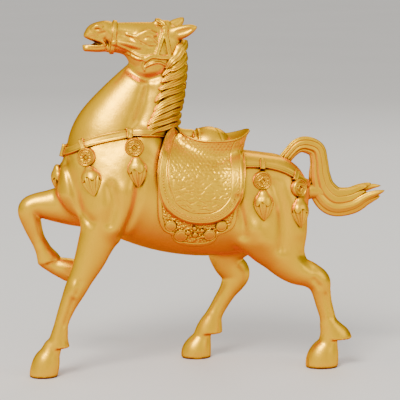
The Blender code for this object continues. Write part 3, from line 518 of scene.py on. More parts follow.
class MeshParts:
    """Points and faces gathered for one piece."""

    def __init__(self, *tubes: list[Array]) -> None:
        """Start with closed tubes.

        Args:
            tubes: the rings of each tube.
        """
        self.points: list[Array] = []
        self.faces: list[tuple[int, ...]] = []
        self.count = 0
        for rings in tubes:
            self.tube(np.array(rings))

    def add(self, points: Array, faces: list[tuple[int, ...]] | Array) -> None:
        """Add a shell."""
        shift = self.count
        self.points.append(np.asarray(points, dtype=float).reshape(-1, 3))
        self.faces.extend([tuple(int(i) + shift for i in face) for face in faces])
        self.count += len(self.points[-1])

    def add_closed(self, points: Array, faces: list[tuple[int, ...]]) -> None:
        """Add a closed shell, turned so that its faces look outwards."""
        self.add(points, faces if shell_volume(points, faces) > 0 else [face[::-1] for face in faces])

    def tube(self, rings: Array) -> None:
        """Add a closed tube through rings of points, with a flat cap at each end."""
        count, around = rings.shape[:2]
        points = np.vstack([rings.reshape(-1, 3), rings[0].mean(axis=0), rings[-1].mean(axis=0)])
        index = np.arange(count * around).reshape(count, around)
        after = np.roll(index, -1, axis=1)
        quads = np.stack([index[:-1], index[1:], after[1:], after[:-1]], axis=-1).reshape(-1, 4)
        first, last = count * around, count * around + 1
        caps = [(first, a, b) for a, b in zip(index[0], after[0])]
        caps += [(last, b, a) for a, b in zip(index[-1], after[-1])]
        faces = [tuple(q) for q in quads] + caps
        self.add_closed(points, faces)

    def plate(self, top: Array, sunk: Array, heart: Array) -> None:
        """Add a closed plate: a grid of points whose border drops to sunk points and on to one point.

        Args:
            top: the grid of points.
            sunk: a grid of the same layout; only its border is used.
            heart: the point inside the body where the plate closes.
        """
        rows, columns = top.shape[:2]
        index = np.arange(rows * columns).reshape(rows, columns)
        border = np.concatenate([index[0], index[1:, -1], index[-1, -2::-1], index[-2:0:-1, 0]])
        quads = np.stack([index[:-1, :-1], index[1:, :-1], index[1:, 1:], index[:-1, 1:]], axis=-1)
        low = rows * columns + np.arange(len(border))
        sides = np.stack([border, np.roll(border, -1), np.roll(low, -1), low], axis=-1)
        end = rows * columns + len(border)
        faces = [tuple(q) for q in np.vstack([quads.reshape(-1, 4), sides])]
        faces += [(a, b, end) for a, b in zip(low, np.roll(low, -1))]
        points = np.vstack([top.reshape(-1, 3), sunk.reshape(-1, 3)[border], heart])
        self.add_closed(points, faces)

    def build(self, name: str, material: Material,
              normals: Callable[[Array], Array] | None = None) -> Object:
        """Make the piece.

        Args:
            name: the object's name.
            material: its finish.
            normals: outward directions for the points, if the faces' own aren't smooth enough.

        Returns:
            The object, standing for the CAD node and riding on the part's body.
        """
        points = np.vstack(self.points)
        mesh = new_mesh(name, points + FIGURE_SHIFT, [], self.faces)
        mesh.update()
        mesh.shade_smooth()
        if normals is not None:
            mesh.normals_split_custom_set_from_vertices(normals(points).tolist())
        mesh.materials.append(material)
        return enlist(new_object(name, mesh))


def new_object(name: str, data: bpy.types.ID) -> Object:
    """An object in the scene, at the origin."""
    made = bpy.data.objects.new(name, data)
    bpy.context.collection.objects.link(made)
    return made


def new_mesh(name: str, points: Array, edges: list[tuple[int, int]], faces: list[tuple[int, ...]]
             ) -> bpy.types.Mesh:
    """A mesh in metres from points in figure units."""
    mesh = bpy.data.meshes.new(name)
    mesh.from_pydata((points * UNIT).tolist(), edges, faces)
    return mesh


def enlist(piece: Object) -> Object:
    """Show a piece as part of the casting."""
    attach(piece, BODY)
    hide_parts(NODE)
    triangles = sum(len(p.vertices) - 2 for p in piece.data.polygons)
    LOG.info("%s: %d triangles", piece.name, triangles)
    return piece


def shell_volume(points: Array, faces: list[tuple[int, ...]]) -> float:
    """Signed volume of a closed shell, over zero when its faces look outwards."""
    triangles = []
    for face in faces:
        triangles.extend((face[0], face[n], face[n + 1]) for n in range(1, len(face) - 1))
    a, b, c = (points[[t[n] for t in triangles]] for n in range(3))
    return float(np.einsum("ij,ij->i", a, np.cross(b, c)).sum()) / 6.0


def surface_net(grid: Field, values: Array) -> tuple[Array, Array]:
    """Vertices and quads of the surface where a grid of values changes sign."""
    inside = values < 0.0
    size = np.array(values.shape) - 1
    count = sum(inside[i:i + size[0], j:j + size[1], k:k + size[2]].astype(int)
                for i, j, k in CORNERS)
    cells = np.argwhere((count > 0) & (count < 8))
    index = np.full(size, -1)
    index[tuple(cells.T)] = np.arange(len(cells))
    total = np.zeros((len(cells), 3))
    hits = np.zeros(len(cells))
    for a in CORNERS:
        for axis in range(3):
            if a[axis] == 1:
                continue
            b = tuple(a[n] + (n == axis) for n in range(3))
            first, second = values[tuple((cells + a).T)], values[tuple((cells + b).T)]
            crossed = (first < 0.0) != (second < 0.0)
            share = np.where(crossed, first / np.where(crossed, first - second, 1.0), 0.0)
            total += (np.array(a) + share[:, None] * (np.array(b) - np.array(a))) * crossed[:, None]
            hits += crossed
    points = grid.low + grid.step * (cells + total / hits[:, None])
    quads = []
    for axis in range(3):
        first = np.take(inside, range(size[axis]), axis=axis)
        second = np.take(inside, range(1, size[axis] + 1), axis=axis)
        u, v = (axis + 1) % 3, (axis + 2) % 3
        for edge, flip in ((first & ~second, False), (~first & second, True)):
            spots = np.argwhere(edge)
            spots = spots[(spots[:, u] > 0) & (spots[:, v] > 0)]
            ring = []
            for du, dv in ((-1, -1), (0, -1), (0, 0), (-1, 0)):
                cell = spots.copy()
                cell[:, u] += du
                cell[:, v] += dv
                ring.append(index[tuple(cell.T)])
            ring = np.column_stack(ring)
            quads.append(ring[:, ::-1] if flip else ring)
    return points, np.vstack(quads)


def across_frames(path: Array, normals: Array) -> Array:
    """Sideways directions along a path that lies on the skin."""
    along = np.gradient(path, axis=0)
    across = np.cross(along, normals)
    return across / np.maximum(np.linalg.norm(across, axis=1), 1e-9)[:, None]


# Finish.


def add_node(tree: Tree, kind: str, inputs: dict[str | int, object] | None = None,
             **settings: object) -> bpy.types.Node:
    """Add a node to a tree.

    Args:
        tree: the node tree.
        kind: the node's type.
        inputs: a value, or a socket to join, for each input, by name or number.
        settings: the node's own properties.

    Returns:
        The node.
    """
    node = tree.nodes.new(kind)
    for key, value in settings.items():
        setattr(node, key, value)
    for key, value in (inputs or {}).items():
        if isinstance(value, Socket):
            tree.links.new(value, node.inputs[key])
        else:
            node.inputs[key].default_value = value
    return node


def new_material(name: str) -> tuple[Material, Tree, Socket]:
    """Start a material and give its node tree and its object coordinates."""
    material = bpy.data.materials.new(name)
    material.use_nodes = True
    tree = material.node_tree
    return material, tree, add_node(tree, "ShaderNodeTexCoord").outputs["Object"]


@dataclass(frozen=True)
class GiltFinish:
    """Satin gilt brass: warm colour with painted shade in the recesses and on surfaces that face down, faint
    casting grain.
    """

    name: str = "gilt brass"
    light: Triple = (1.0, 0.60, 0.0)
    middle: Triple = (1.0, 0.50, 0.0)
    # Painted shade: the colour given to surfaces that face down.
    shade: Triple = (0.60, 0.13, 0.0)
    # Painted shade: the colour that ambient occlusion lays into creases and recesses.
    recess_shade: Triple = (0.13, 0.014, 0.0)
    grazing: Triple = (1.0, 0.6, 0.0)
    roughness: tuple[float, float] = (0.30, 0.40)
    cloud_scale: float = 90.0
    grain_scale: float = 1500.0
    grain_depth: float = 0.00003
    wave_scale: float = 260.0
    wave_depth: float = 0.0001
    # Reach and span (openness) of the ambient occlusion that paints shade into the recesses.
    recess_reach: float = 0.0024
    # The span of the normal's z over which the painted underside shade gives way to the gold.
    underside_shade_span: tuple[float, float] = (-0.75, 0.15)
    openness: tuple[float, float] = (0.25, 0.9)

    def build(self) -> Material:
        """Make the material.

        Returns:
            A procedural material in object coordinates.
        """
        material, tree, place = new_material(self.name)
        shader = tree.nodes["Principled BSDF"]
        shader.inputs["Metallic"].default_value = 1.0
        shader.inputs["Specular Tint"].default_value = (*self.grazing, 1.0)

        def noise(scale: float, detail: float) -> Socket:
            inputs = {"Vector": place, "Scale": scale, "Detail": detail}
            return add_node(tree, "ShaderNodeTexNoise", inputs).outputs["Fac"]

        def mixed(share: Socket, first: tuple, second: Socket | tuple
                  ) -> Socket:
            inputs = {"Factor": share, 6: first, 7: second}
            return add_node(tree, "ShaderNodeMix", inputs, data_type="RGBA").outputs[2]

        def ramp(value: Socket, span: tuple[float, float]) -> Socket:
            inputs = {"Value": value, "From Min": span[0], "From Max": span[1]}
            node = add_node(tree, "ShaderNodeMapRange", inputs, interpolation_type="SMOOTHSTEP")
            return node.outputs["Result"]

        colour = mixed(noise(self.cloud_scale, 3.0), (*self.middle, 1.0), (*self.light, 1.0))
        # Painted shade on the undersides: the colour turns to the shade colour where the object-space normal
        # points down.
        direction = add_node(tree, "ShaderNodeTexCoord").outputs["Normal"]
        facing = add_node(tree, "ShaderNodeSeparateXYZ", {"Vector": direction})
        colour = mixed(ramp(facing.outputs["Z"], self.underside_shade_span), (*self.shade, 1.0), colour)
        # Painted shade in the recesses: ambient occlusion mixes in the recess shade colour.
        recess = add_node(tree, "ShaderNodeAmbientOcclusion", {"Distance": self.recess_reach}, samples=8)
        colour = mixed(ramp(recess.outputs["AO"], self.openness), (*self.recess_shade, 1.0), colour)
        rough = add_node(tree, "ShaderNodeMapRange", {
            "Value": noise(self.wave_scale, 4.0), "To Min": self.roughness[0], "To Max": self.roughness[1]})
        wave = add_node(tree, "ShaderNodeBump", {
            "Distance": self.wave_depth, "Height": noise(self.wave_scale, 2.0)})
        grain = add_node(tree, "ShaderNodeBump", {
            "Distance": self.grain_depth, "Height": noise(self.grain_scale, 3.0),
            "Normal": wave.outputs["Normal"]})
        for key, socket in (("Base Color", colour), ("Roughness", rough.outputs["Result"]),
                            ("Normal", grain.outputs["Normal"])):
            tree.links.new(socket, shader.inputs[key])
        return material


# Pieces.


@dataclass(frozen=True)
class Bodywork:
    """The bare body and the bridled head, each meshed on its own grid."""

    body_step: float = 0.7
    head_step: float = 0.32
    seam_height: float = 112.0
    body_dive: float = 0.5
    head_dive: float = 1.0
    sole_depth: float = 0.05
    body_reach: float = 3.2
    head_reach: float = 1.4
    body_low: Triple = (-76.0, -24.5, -5.5)
    body_high: Triple = (57.0, 24.5, 144.0)
    head_low: Triple = (-50.0, -12.0, 102.0)
    head_high: Triple = (1.0, 10.0, 142.5)

    def skin(self, anatomy: Anatomy) -> Field:
        """The bare skin of the whole horse, for draping things on."""
        return Field(anatomy.distance, self.body_low, self.body_high, self.body_step, reach=self.body_reach)

    def body(self, skin: Field, material: Material) -> Object:
        """The body, neck and legs. It sinks away inside the head."""
        height = skin.heights()
        values = skin.values + self.body_dive * np.maximum(height - self.seam_height, 0.0)
        points, quads = surface_net(skin, np.maximum(values, -height))
        points[:, 2] = np.maximum(points[:, 2], 0.0)
        parts = MeshParts()
        parts.add(points, quads)
        return parts.build("body", material, lambda spots: self.skin_normals(skin, spots))

    def head(self, details: "HeadDetails", anatomy: Anatomy,
             material: Material) -> Object:
        """The head with its bridle. It sinks away inside the neck."""
        grid = Field(lambda p: details.distance(p, anatomy.distance(p)), self.head_low,
                     self.head_high, self.head_step, reach=self.head_reach)
        height = grid.heights()
        values = grid.values + self.head_dive * np.maximum(self.seam_height - height, 0.0)
        parts = MeshParts()
        parts.add(*surface_net(grid, values))
        return parts.build("head", material, lambda spots: grid.sample(spots)[1])

    def skin_normals(self, skin: Field, points: Array) -> Array:
        """Outward directions of the skin, straight down under the soles."""
        normals = skin.sample(points)[1]
        normals[points[:, 2] < self.sole_depth] = (0.0, 0.0, -1.0)
        return normals


@dataclass(frozen=True)
class HeadDetails:
    """Eyes, lids, nostrils, lips, ears' hollows and the bridle, melted into the head."""

    strap_half_width: float = 0.85
    strap_thickness: float = 0.85
    raised: list[Form] = field(default_factory=lambda: [
        *both_sides(0.25, [(-22, -6.1, 3.6, 131.7, 1.0, 1.3), (-20.8, -6.4, 4.3, 131.2, 1.35, 1.5),
                           (-19.5, -6.4, 4.5, 130.5, 1.0, 1.3)]),
        Form(0.3, [(-24.0, -6.9, 131.0, 0.5, 0.5), (-22.6, -7.2, 132.6, 0.5, 0.6),
                   (-20.6, -7.3, 132.8, 0.55, 0.6), (-18.9, -7.2, 131.3, 0.5, 0.6),
                   (-17.3, -6.9, 129.6, 0.4, 0.5)]),
        Form(0.3, [(-24.0, 4.1, 131.0, 0.5, 0.5), (-22.6, 4.8, 132.6, 0.5, 0.6),
                   (-20.6, 5.2, 132.8, 0.55, 0.6), (-18.9, 5.4, 131.3, 0.5, 0.6)]),
        Form(0.3, [(-23.6, -6.9, 130.8, 0.35, 0.4), (-22, -7.2, 129.8, 0.4, 0.5),
                   (-20.3, -7.4, 129.3, 0.4, 0.5), (-18.4, -7.2, 129.3, 0.35, 0.4)]),
        *both_sides(0.9, [(-25.4, -6.6, 3.5, 131.4, 0.8, 0.7), (-23.8, -6.9, 4.1, 133.3, 0.9, 0.8),
                          (-21.4, -7.0, 4.6, 134.4, 0.9, 0.8), (-18.6, -6.8, 4.8, 133.4, 0.8, 0.7)]),
        Form(0.5, [(-29.6, -6.1, 133.4, 0.4, 0.5), (-27.2, -6.6, 132.8, 0.5, 0.5),
                   (-25.2, -6.8, 132.0, 0.4, 0.5)]),
        *both_sides(0.5, [(-42.6, -6.3, -0.4, 135.6, 0.9, 0.8), (-41.2, -6.7, 0, 136.6, 0.9, 0.8),
                          (-39.6, -6.8, 0.2, 136.2, 0.9, 0.8)]),
        Form(0.5, [(-45.6, -4.6, 133.0, 0.6, 0.8), (-43.4, -5.8, 132.2, 0.6, 0.8),
                   (-41, -6.1, 131.4, 0.6, 0.8), (-39, -6.0, 130.5, 0.6, 0.8),
                   (-38, -5.6, 129.4, 0.6, 0.7)]),
        Form(0.5, [(-46.2, -4.0, 128.9, 0.5, 0.8), (-43.6, -5.3, 129.0, 0.5, 0.6),
                   (-41, -5.7, 128.9, 0.5, 0.6), (-38.6, -5.6, 129.1, 0.5, 0.6)]),
        Form(0.2, [(-40.6, -4.6, 130.9, 0.35, 0.45), (-40.5, -4.6, 129.9, 0.3, 0.4)]),
        Form(0.2, [(-39.7, -4.9, 130.6, 0.35, 0.45), (-39.6, -4.9, 129.6, 0.3, 0.4)]),
        Form(0.2, [(-38.9, -5.1, 130.3, 0.35, 0.45), (-38.8, -5.1, 129.4, 0.3, 0.4)]),
    ])
    sunk: list[Form] = field(default_factory=lambda: [
        *both_sides(0.3, [(-41.7, -7.6, 1.0, 135.3, 0.45, 0.9), (-40.4, -7.9, 1.3, 135.4, 0.45, 0.9)]),
        Form(0.6, [(-40.6, -7.6, 133.6, 0.5, 0.8), (-38.2, -7.6, 134.2, 0.6, 0.8)]),
        Form(0.4, [(-9.4, -6.5, 133.9, 1.1, 1.0), (-6.6, -6.6, 134.6, 1.15, 1.0),
                   (-4.4, -6.4, 135.3, 0.6, 0.7)]),
        Form(0.4, [(-9.4, 5.8, 137.0, 1.0, 0.9), (-7.4, 6.0, 138.2, 0.7, 0.7)]),
        Form(0.3, [(-25.0, -8.0, 131.6, 0.4, 0.7), (-24.3, -8.2, 130.2, 0.35, 0.6)]),
    ])
    straps: list[Rows] = field(default_factory=lambda: [
        [(-17.0, 139.0), (-14.9, 137.4), (-14.2, 134.8)],
        [(-15.0, 133.8), (-16.2, 130.4), (-17.9, 125.6)],
        [(-14.3, 133.6), (-13.6, 130.0), (-12.7, 124.6)],
        [(-12.0, 124.2), (-16.4, 124.5), (-19.8, 124.9), (-22.4, 123.6)],
    ])
    cords: list[Rows] = field(default_factory=lambda: [
        [(-20.5, 124.8), (-24.6, 124.9), (-28.8, 127.3), (-33.6, 129.4)],
        [(-21.5, 123.7), (-25.6, 123.9), (-29.4, 126.0)],
        [(-22.2, 123.4), (-23.4, 121.4), (-22.8, 119.6)],
        [(-22.8, 120.6), (-20.0, 122.0), (-16.8, 122.4), (-13.6, 120.8)],
    ])
    nose_band: tuple[float, float, float, float] = (-34.4, 133.0, 0.12, 125.5)
    cord_radius: float = 0.45
    bosses: Rows = field(default_factory=lambda: [
        (-14.5, 5.2, 135.3, 1.5, -0.5), (-14.4, 5.6, 133.6, 1.1, -0.5), (-34.6, 4.2, 130.2, 1.2, -2.6)])
    lowest: float = 118.0
    skin_reach: float = 2.5

    def distance(self, points: Array, bare: Array) -> Array:
        """The bridled head's distance from the bare head's."""
        distance = bare.copy()
        for form in self.raised:
            form.melt_into(distance, points)
        for form in self.sunk:
            form.melt_into(distance, points, sink=True)
        near = (points[:, 2] > self.lowest) & (np.abs(bare) < self.skin_reach)
        x, z = points[near][:, [0, 2]].T
        skin = bare[near]
        result = distance[near]
        for line in self.straps:
            off = line_distance(x, z, smooth_path(line)) - self.strap_half_width
            lift = self.strap_thickness * (1.0 - 0.25 * smooth_step(-0.5, -0.8, off))
            result = soft_union(result, soft_cut(skin - lift, off, 0.3), 0.15)
        for line in self.cords:
            off = line_distance(x, z, smooth_path(line))
            result = soft_union(result, np.hypot(off, skin - 0.1) - self.cord_radius, 0.4)
        band_x, band_z, slant, foot = self.nose_band
        off = np.abs(x - band_x - slant * (z - band_z)) - self.strap_half_width
        band = soft_cut(soft_cut(skin - self.strap_thickness, off, 0.3), foot - z, 0.3)
        result = soft_union(result, band, 0.15)
        for side in Side:
            for along, spread, height, radius, axis in self.bosses:
                middle = np.array([along, side.value * spread + axis, height])
                ball = np.linalg.norm(points[near] - middle, axis=1) - radius
                result = soft_union(result, ball, 0.4)
        distance[near] = result
        return distance


@dataclass(frozen=True)
class HairLock:
    """How a lock of hair is shaped: a tapered roll, steeper on its lower side, with fine strands."""

    half_width: float = 1.95
    thickness: float = 2.7
    strands: int = 3
    strand_depth: float = 0.26
    lean: float = 0.45
    around: int = 40

    def rings(self, path: Array, normals: Array, widths: Array, heights: Array, lower: float) -> Array:
        """Rings of points along a path.

        Args:
            path: the lock's middle line on the skin.
            normals: the skin's outward directions there.
            widths: half widths.
            heights: thicknesses.
            lower: the sign of the sideways direction that points down.

        Returns:
            One closed section for each point of the path.
        """
        across = across_frames(path, normals)
        angle = full_turn(self.around)
        side, up = np.cos(angle), np.sin(angle)
        groove = 1.0 - self.strand_depth * (0.5 + 0.5 * np.cos(math.pi * self.strands * (side + 1)))
        crown = np.maximum(up, 0.0) ** 0.7 * groove * (1.0 + self.lean * lower * side)
        up = np.where(up > 0.0, crown, 0.5 * up)
        return (path[:, None] + across[:, None] * (widths[:, None] * side)[..., None]
                + normals[:, None] * (heights[:, None] * up)[..., None])


@dataclass(frozen=True)
class Mane:
    """Locks that leave the crest and sweep down the neck in an S, on both sides."""

    lock: HairLock = HairLock()
    locks: list[Rows] = field(default_factory=lambda: [
        [(-7.8, 130.6), (-9.0, 127.4), (-10.3, 124.6), (-12.3, 122.7), (-14.6, 120.0)],
        [(-6.9, 126.5), (-8.3, 123.2), (-10.3, 121.0), (-13.1, 119.0), (-16.0, 116.8)],
        [(-6.4, 122.4), (-7.9, 119.7), (-10.2, 117.8), (-13.0, 116.3), (-16.6, 114.6)],
        [(-6.2, 118.8), (-7.8, 116.7), (-10.6, 115.0), (-13.6, 113.6), (-17.4, 111.9)],
        [(-6.4, 115.4), (-8.0, 113.3), (-10.8, 111.9), (-13.8, 110.9), (-16.8, 109.2), (-19.0, 106.9)],
        [(-6.9, 112.0), (-8.6, 109.9), (-10.9, 108.7), (-13.4, 107.7), (-16.0, 106.3), (-19.4, 103.4)],
        [(-8.0, 108.8), (-9.8, 107.2), (-12.2, 106.2), (-14.6, 105.0), (-17.4, 103.4), (-20.5, 100.7)],
        [(-9.8, 105.8), (-11.6, 104.4), (-13.6, 103.4), (-16.0, 102.2), (-19.2, 100.6), (-22.1, 98.0)],
        [(-11.0, 102.6), (-13.0, 101.2), (-15.0, 100.2), (-17.4, 99.4), (-19.8, 98.2), (-22.4, 95.8)],
        [(-11.6, 99.6), (-14.2, 98.3), (-17.0, 97.0), (-19.4, 96.0), (-21.6, 94.4)]])
    stations: int = 44
    filler_size: float = 0.48
    filler_lift: float = 0.6
    root_spread: float = 0.9

    def build(self, skin: Field, material: Material) -> list[Object]:
        """One piece for each side."""
        pieces = []
        for side in Side:
            parts = MeshParts()
            for n, rows in enumerate(self.locks):
                self.add_lock(parts, skin, side, np.array(rows), 1.0 - 0.12 * (n % 3 == 1), 1.0)
            for upper, lower in zip(self.locks[:-1], self.locks[1:]):
                rows = 0.5 * sum(np.array(lock)[[0, 1, 2, 3, -1]] for lock in (upper, lower))
                rows[-1] += 0.5 * (rows[-2] - rows[-1]) + (-0.5, -0.3)
                self.add_lock(parts, skin, side, rows, self.filler_size, self.filler_lift)
            pieces.append(parts.build("mane_" + side.name.lower(), material))
        return pieces

    def add_lock(self, parts: MeshParts, skin: Field, side: Side, rows: Array, size: float,
                 lift: float) -> None:
        """Add one lock along x and z rows from its root on the crest to its tip."""
        line = side_path(rows, 0.1)
        line = line[np.linspace(0, len(line) - 1, self.stations).astype(int)]
        t = np.linspace(0.0, 1.0, self.stations)
        y = skin.side_depth(line[:, 0], line[:, 2], side, default=1.0)
        start = smooth_step(0.0, 0.28, t)
        line[:, 1] = side.value * (y * start + self.root_spread * (1.0 - start))
        path, normals = skin.drape(line)
        taper = (0.6 + 0.4 * smooth_step(0.0, 0.2, t)) * (1.0 - 0.8 * t ** 3.5)
        widths = size * self.lock.half_width * taper
        heights = lift * self.lock.thickness * taper ** 0.6 * (1.0 - 0.35 * t)
        heights[-1] *= 0.3
        parts.tube(self.lock.rings(path, normals, widths, heights, side.value))


@dataclass(frozen=True)
class Tail:
    """The tail: grooved strands bundled along its middle line, with staggered tips."""

    line: Rows = field(default_factory=lambda: [
        (33.4, 81.6, 2.6), (36.4, 85.2, 2.5), (39.6, 88, 2.9), (43.2, 88.5, 3.4), (47.3, 86.5, 3.6),
        (48.5, 81.6, 3.7), (48.8, 75.7, 4.5), (50.2, 69.9, 5.5), (54.6, 65.4, 6), (61.4, 65.4, 5.5),
        (66.8, 67.8, 4.8), (71.2, 69.2, 4.2), (75, 70, 2.6)])
    half_width: float = 3.4
    strands: int = 9
    twist: float = 1.1
    reach: float = 0.72
    inner_size: float = 0.6
    strand_size: float = 0.27
    groove_depth: float = 0.08
    around: int = 28

    def build(self, material: Material) -> Object:
        """The whole tail in one piece."""
        line = even_path(smooth_path([(x, 0.0, z, r) for x, z, r in self.line], 8), 0.5)
        share = np.linspace(0.0, 1.0, len(line))
        step = directions(line[:, :3])
        up = np.column_stack([-step[:, 2], np.zeros(len(line)), step[:, 0]])
        out = np.array([0.0, 1.0, 0.0])
        wide = self.half_width * (0.62 + 0.38 * share)
        angle = full_turn(self.around)
        parts = MeshParts()
        for n in range(self.strands + 1):
            inner = n == self.strands
            turn = 2 * math.pi * n / self.strands + self.twist * share
            reach = 0.0 if inner else self.reach + 0.15 * smooth_step(0.88, 1.0, share)
            middle = (line[:, :3] + up * (reach * line[:, 3] * np.cos(turn))[:, None]
                      + out * (reach * wide * np.sin(turn))[:, None])
            stop = int(len(line) * (0.9 if inner else 1.0 - 0.03 * (n * 4 % 5)))
            tip = np.clip((stop - 1 - np.arange(stop)) / (0.12 * len(line)), 0.0, 1.0)
            size = self.inner_size if inner else self.strand_size + 0.05 * (n % 2)
            size = size * np.sqrt(tip * (2.0 - tip)) + 0.02
            groove = 1.0 - self.groove_depth * np.cos(5 * angle + n)
            ring = (middle[:stop, None] + up[:stop, None] * ((size * line[:stop, 3])[:, None]
                                                             * np.cos(angle) * groove)[..., None]
                    + out * ((size * wide[:stop])[:, None] * np.sin(angle) * groove)[..., None])
            parts.tube(ring)
        return parts.build("tail", material)


@dataclass(frozen=True)
class Saddle:
    """The seat with its flared rim and dome, and the flaps that hang from the rim."""

    middle: tuple[float, float] = (4.6, 92.0)
    half: tuple[float, float] = (15.3, 13.8)
    rises: tuple[float, float] = (5.0, 3.2)
    rim_curve: float = 3.0
    dish: float = 1.8
    thickness: float = 2.9
    outline: Rows = field(default_factory=lambda: [
        (-11.6, 97.6), (-14.0, 94.6), (-16.5, 89.6), (-18.2, 84.0), (-18.7, 78.6), (-18.2, 73.5),
        (-16.5, 68.4), (-13.8, 65.2), (-10.3, 62.8), (-6.3, 61.2), (-1.4, 60.8), (3.1, 61.3),
        (7.5, 63.4), (11.0, 66.7), (13.4, 70.3), (14.5, 74.5), (15.0, 80.6), (15.2, 85.5),
        (16.6, 90.6), (19.4, 95.2)])
    border: Triple = (0.5, 2.9, 3.55)
    bevel: tuple[float, float] = (0.35, 1.6)
    groove_depth: float = 0.34
    bead_line: float = 1.75
    bead_top: float = 80.0
    dome: tuple[float, float, float, float, float] = (3.4, 89.0, 9.2, 8.4, 7.4)
    tile: tuple[float, float] = (1.6, 1.15)
    rim_scale: float = 0.975
    rim_drop: float = 0.7
    columns: int = 300
    rows: int = 150
    smoothing_rounds: int = 40

    def rim(self, turn: Array, scale: float = 1.0) -> Array:
        """Points of the seat's rim; turn runs from the cantle through the far side."""
        x = self.half[0] * scale * np.cos(turn)
        y = self.half[1] * scale * np.sin(turn)
        rise = np.where(x < 0.0, *self.rises) * (scale * np.abs(np.cos(turn))) ** self.rim_curve
        return np.stack([self.middle[0] + x, y, self.middle[1] + rise], axis=-1)

    def grown_rim(self, turn: Array, swell: float | Array, drop: float | Array) -> Array:
        """The rim, scaled about its middle and lowered."""
        ring = self.rim(turn)
        ring[:, 0] = self.middle[0] + (ring[:, 0] - self.middle[0]) * swell
        ring[:, 1] *= swell
        ring[:, 2] -= drop
        return ring

    def seat(self, material: Material) -> Object:
        """The dished seat with its rim, the dome and the ribs at its front."""
        turn = full_turn(240)
        rings = []
        for scale in np.linspace(0.02, 0.97, 34):
            ring = self.rim(turn, scale)
            ring[:, 2] -= self.dish * (1.0 - (scale / 0.98) ** 6)
            rings.append(ring)
        for swell, drop in ((0.985, -0.12), (1.0, 0.1), (1.0, 0.45), (0.985, 0.75), (0.955, 0.95)):
            rings.append(self.grown_rim(turn, swell, drop))
        tuck = 0.33 - 0.16 * smooth_step(0.55, 0.95, np.cos(turn))
        rise = self.rim(turn)[:, 2] - self.middle[1]
        for share in np.linspace(0.1, 1.0, 8):
            flare = 0.93 - tuck * math.sin(0.5 * math.pi * share) ** 0.6
            rings.append(self.grown_rim(turn, flare, 1.0 + 6.5 * share + rise * share))
        return MeshParts(rings, self.dome_rings()).build("seat", material)

    def dome_rings(self) -> list[Array]:
        """Rings of the dome in the seat, with ribs at its front and a seam across it."""
        x, z, rx, ry, rz = self.dome
        turn = full_turn(120)
        rings = []
        for tilt in np.linspace(-0.3, 0.5 * math.pi - 0.02, 60):
            dx, dy, dz = np.cos(tilt) * np.cos(turn), np.cos(tilt) * np.sin(turn), np.sin(tilt)
            rib = 0.4 * np.maximum(np.cos(2 * math.pi * (dx + 0.98) / 0.17), 0.0) * (dx < -0.42)
            size = 1.0 + (rib - 0.4 * bump(dx - 0.4 * dy * dy, 0.28, 0.03)) / rz
            rings.append(np.stack([x + rx * dx * size, ry * dy * size, z + rz * dz * size], axis=-1))
        return rings

    def relief(self, x: Array, z: Array, edge: Array) -> Array:
        """Height of the flap's chasing.

        Args:
            x: places along the figure.
            z: heights.
            edge: distances to the flap's outline.

        Returns:
            Heights over the flap's plain face.
        """
        first, second, third = self.border
        depth = self.groove_depth
        height = -depth * bump(edge, third, 0.17) - 0.4 * depth * bump(edge, first, 0.13)
        height -= 0.5 * depth * smooth_step(-9.0, -11.0, x) * bump(edge, second, 0.13)
        width, tall = self.tile
        row = np.floor(z / tall)
        dimple = np.hypot((x + 0.5 * width * (row % 2)) % width - 0.5 * width, z % tall - 0.5 * tall)
        chasing = 0.10 * (value_noise(x, z, 0.7, 3) - 0.5)
        chasing -= (0.05 + 0.13 * smooth_step(76.0, 82.0, z)) * bump(dimple, 0.0, 0.27)
        nearest = np.full(x.shape, FAR)
        for stroke in self.strokes():
            nearest = np.minimum(nearest, line_distance(x, z, stroke))
        chasing -= 0.26 * bump(nearest, 0.0, 0.17)
        height += smooth_step(third + 0.2, third + 0.7, edge) * chasing
        band = smooth_step(first + 0.2, first + 0.5, edge) * smooth_step(second, second - 0.3, edge)
        return height + 0.08 * band * (value_noise(x, z, 0.5, 5) - 0.5)

    def strokes(self) -> list[Array]:
        """Generic chased strokes: short curved dashes in loose rows over the flap's lower half."""
        random = np.random.default_rng(17)
        strokes = []
        for row, z in enumerate(np.arange(65.6, 84.0, 1.75)):
            for x in np.arange(-14.0 + 1.5 * (row % 2), 12.0, 3.0):
                size = random.uniform(0.8, 1.7) * (1.0 - 0.35 * (z > 78.0))
                tilt = random.uniform(-0.7, 0.7)
                bow = random.uniform(-0.5, 0.5)
                along = np.linspace(-1.0, 1.0, 6)
                dx, dz = size * along, bow * (1.0 - along ** 2)
                middle_x, middle_z = x + random.uniform(-0.6, 0.6), z + random.uniform(-0.4, 0.4)
                strokes.append(np.column_stack([
                    middle_x + dx * math.cos(tilt) - dz * math.sin(tilt),
                    middle_z + dx * math.sin(tilt) + dz * math.cos(tilt)]))
        return strokes

    def edge_path(self, inset: float) -> Array:
        """The flap's outline, moved inwards."""
        line = side_path(self.outline, 0.2)[:, [0, 2]]
        step = directions(line)
        return line + inset * np.column_stack([-step[:, 1], step[:, 0]])

    def bead_rows(self, skin: Field) -> list[Array]:
        """Lines on both flaps for the beads along their borders."""
        line = self.edge_path(self.bead_line)
        line = line[line[:, 1] < self.bead_top]
        rows = []
        for side in Side:
            depth = skin.side_depth(line[:, 0], line[:, 1], side) + self.thickness + 0.02
            rows.append(np.insert(line, 1, side.value * depth, axis=1))
        return rows

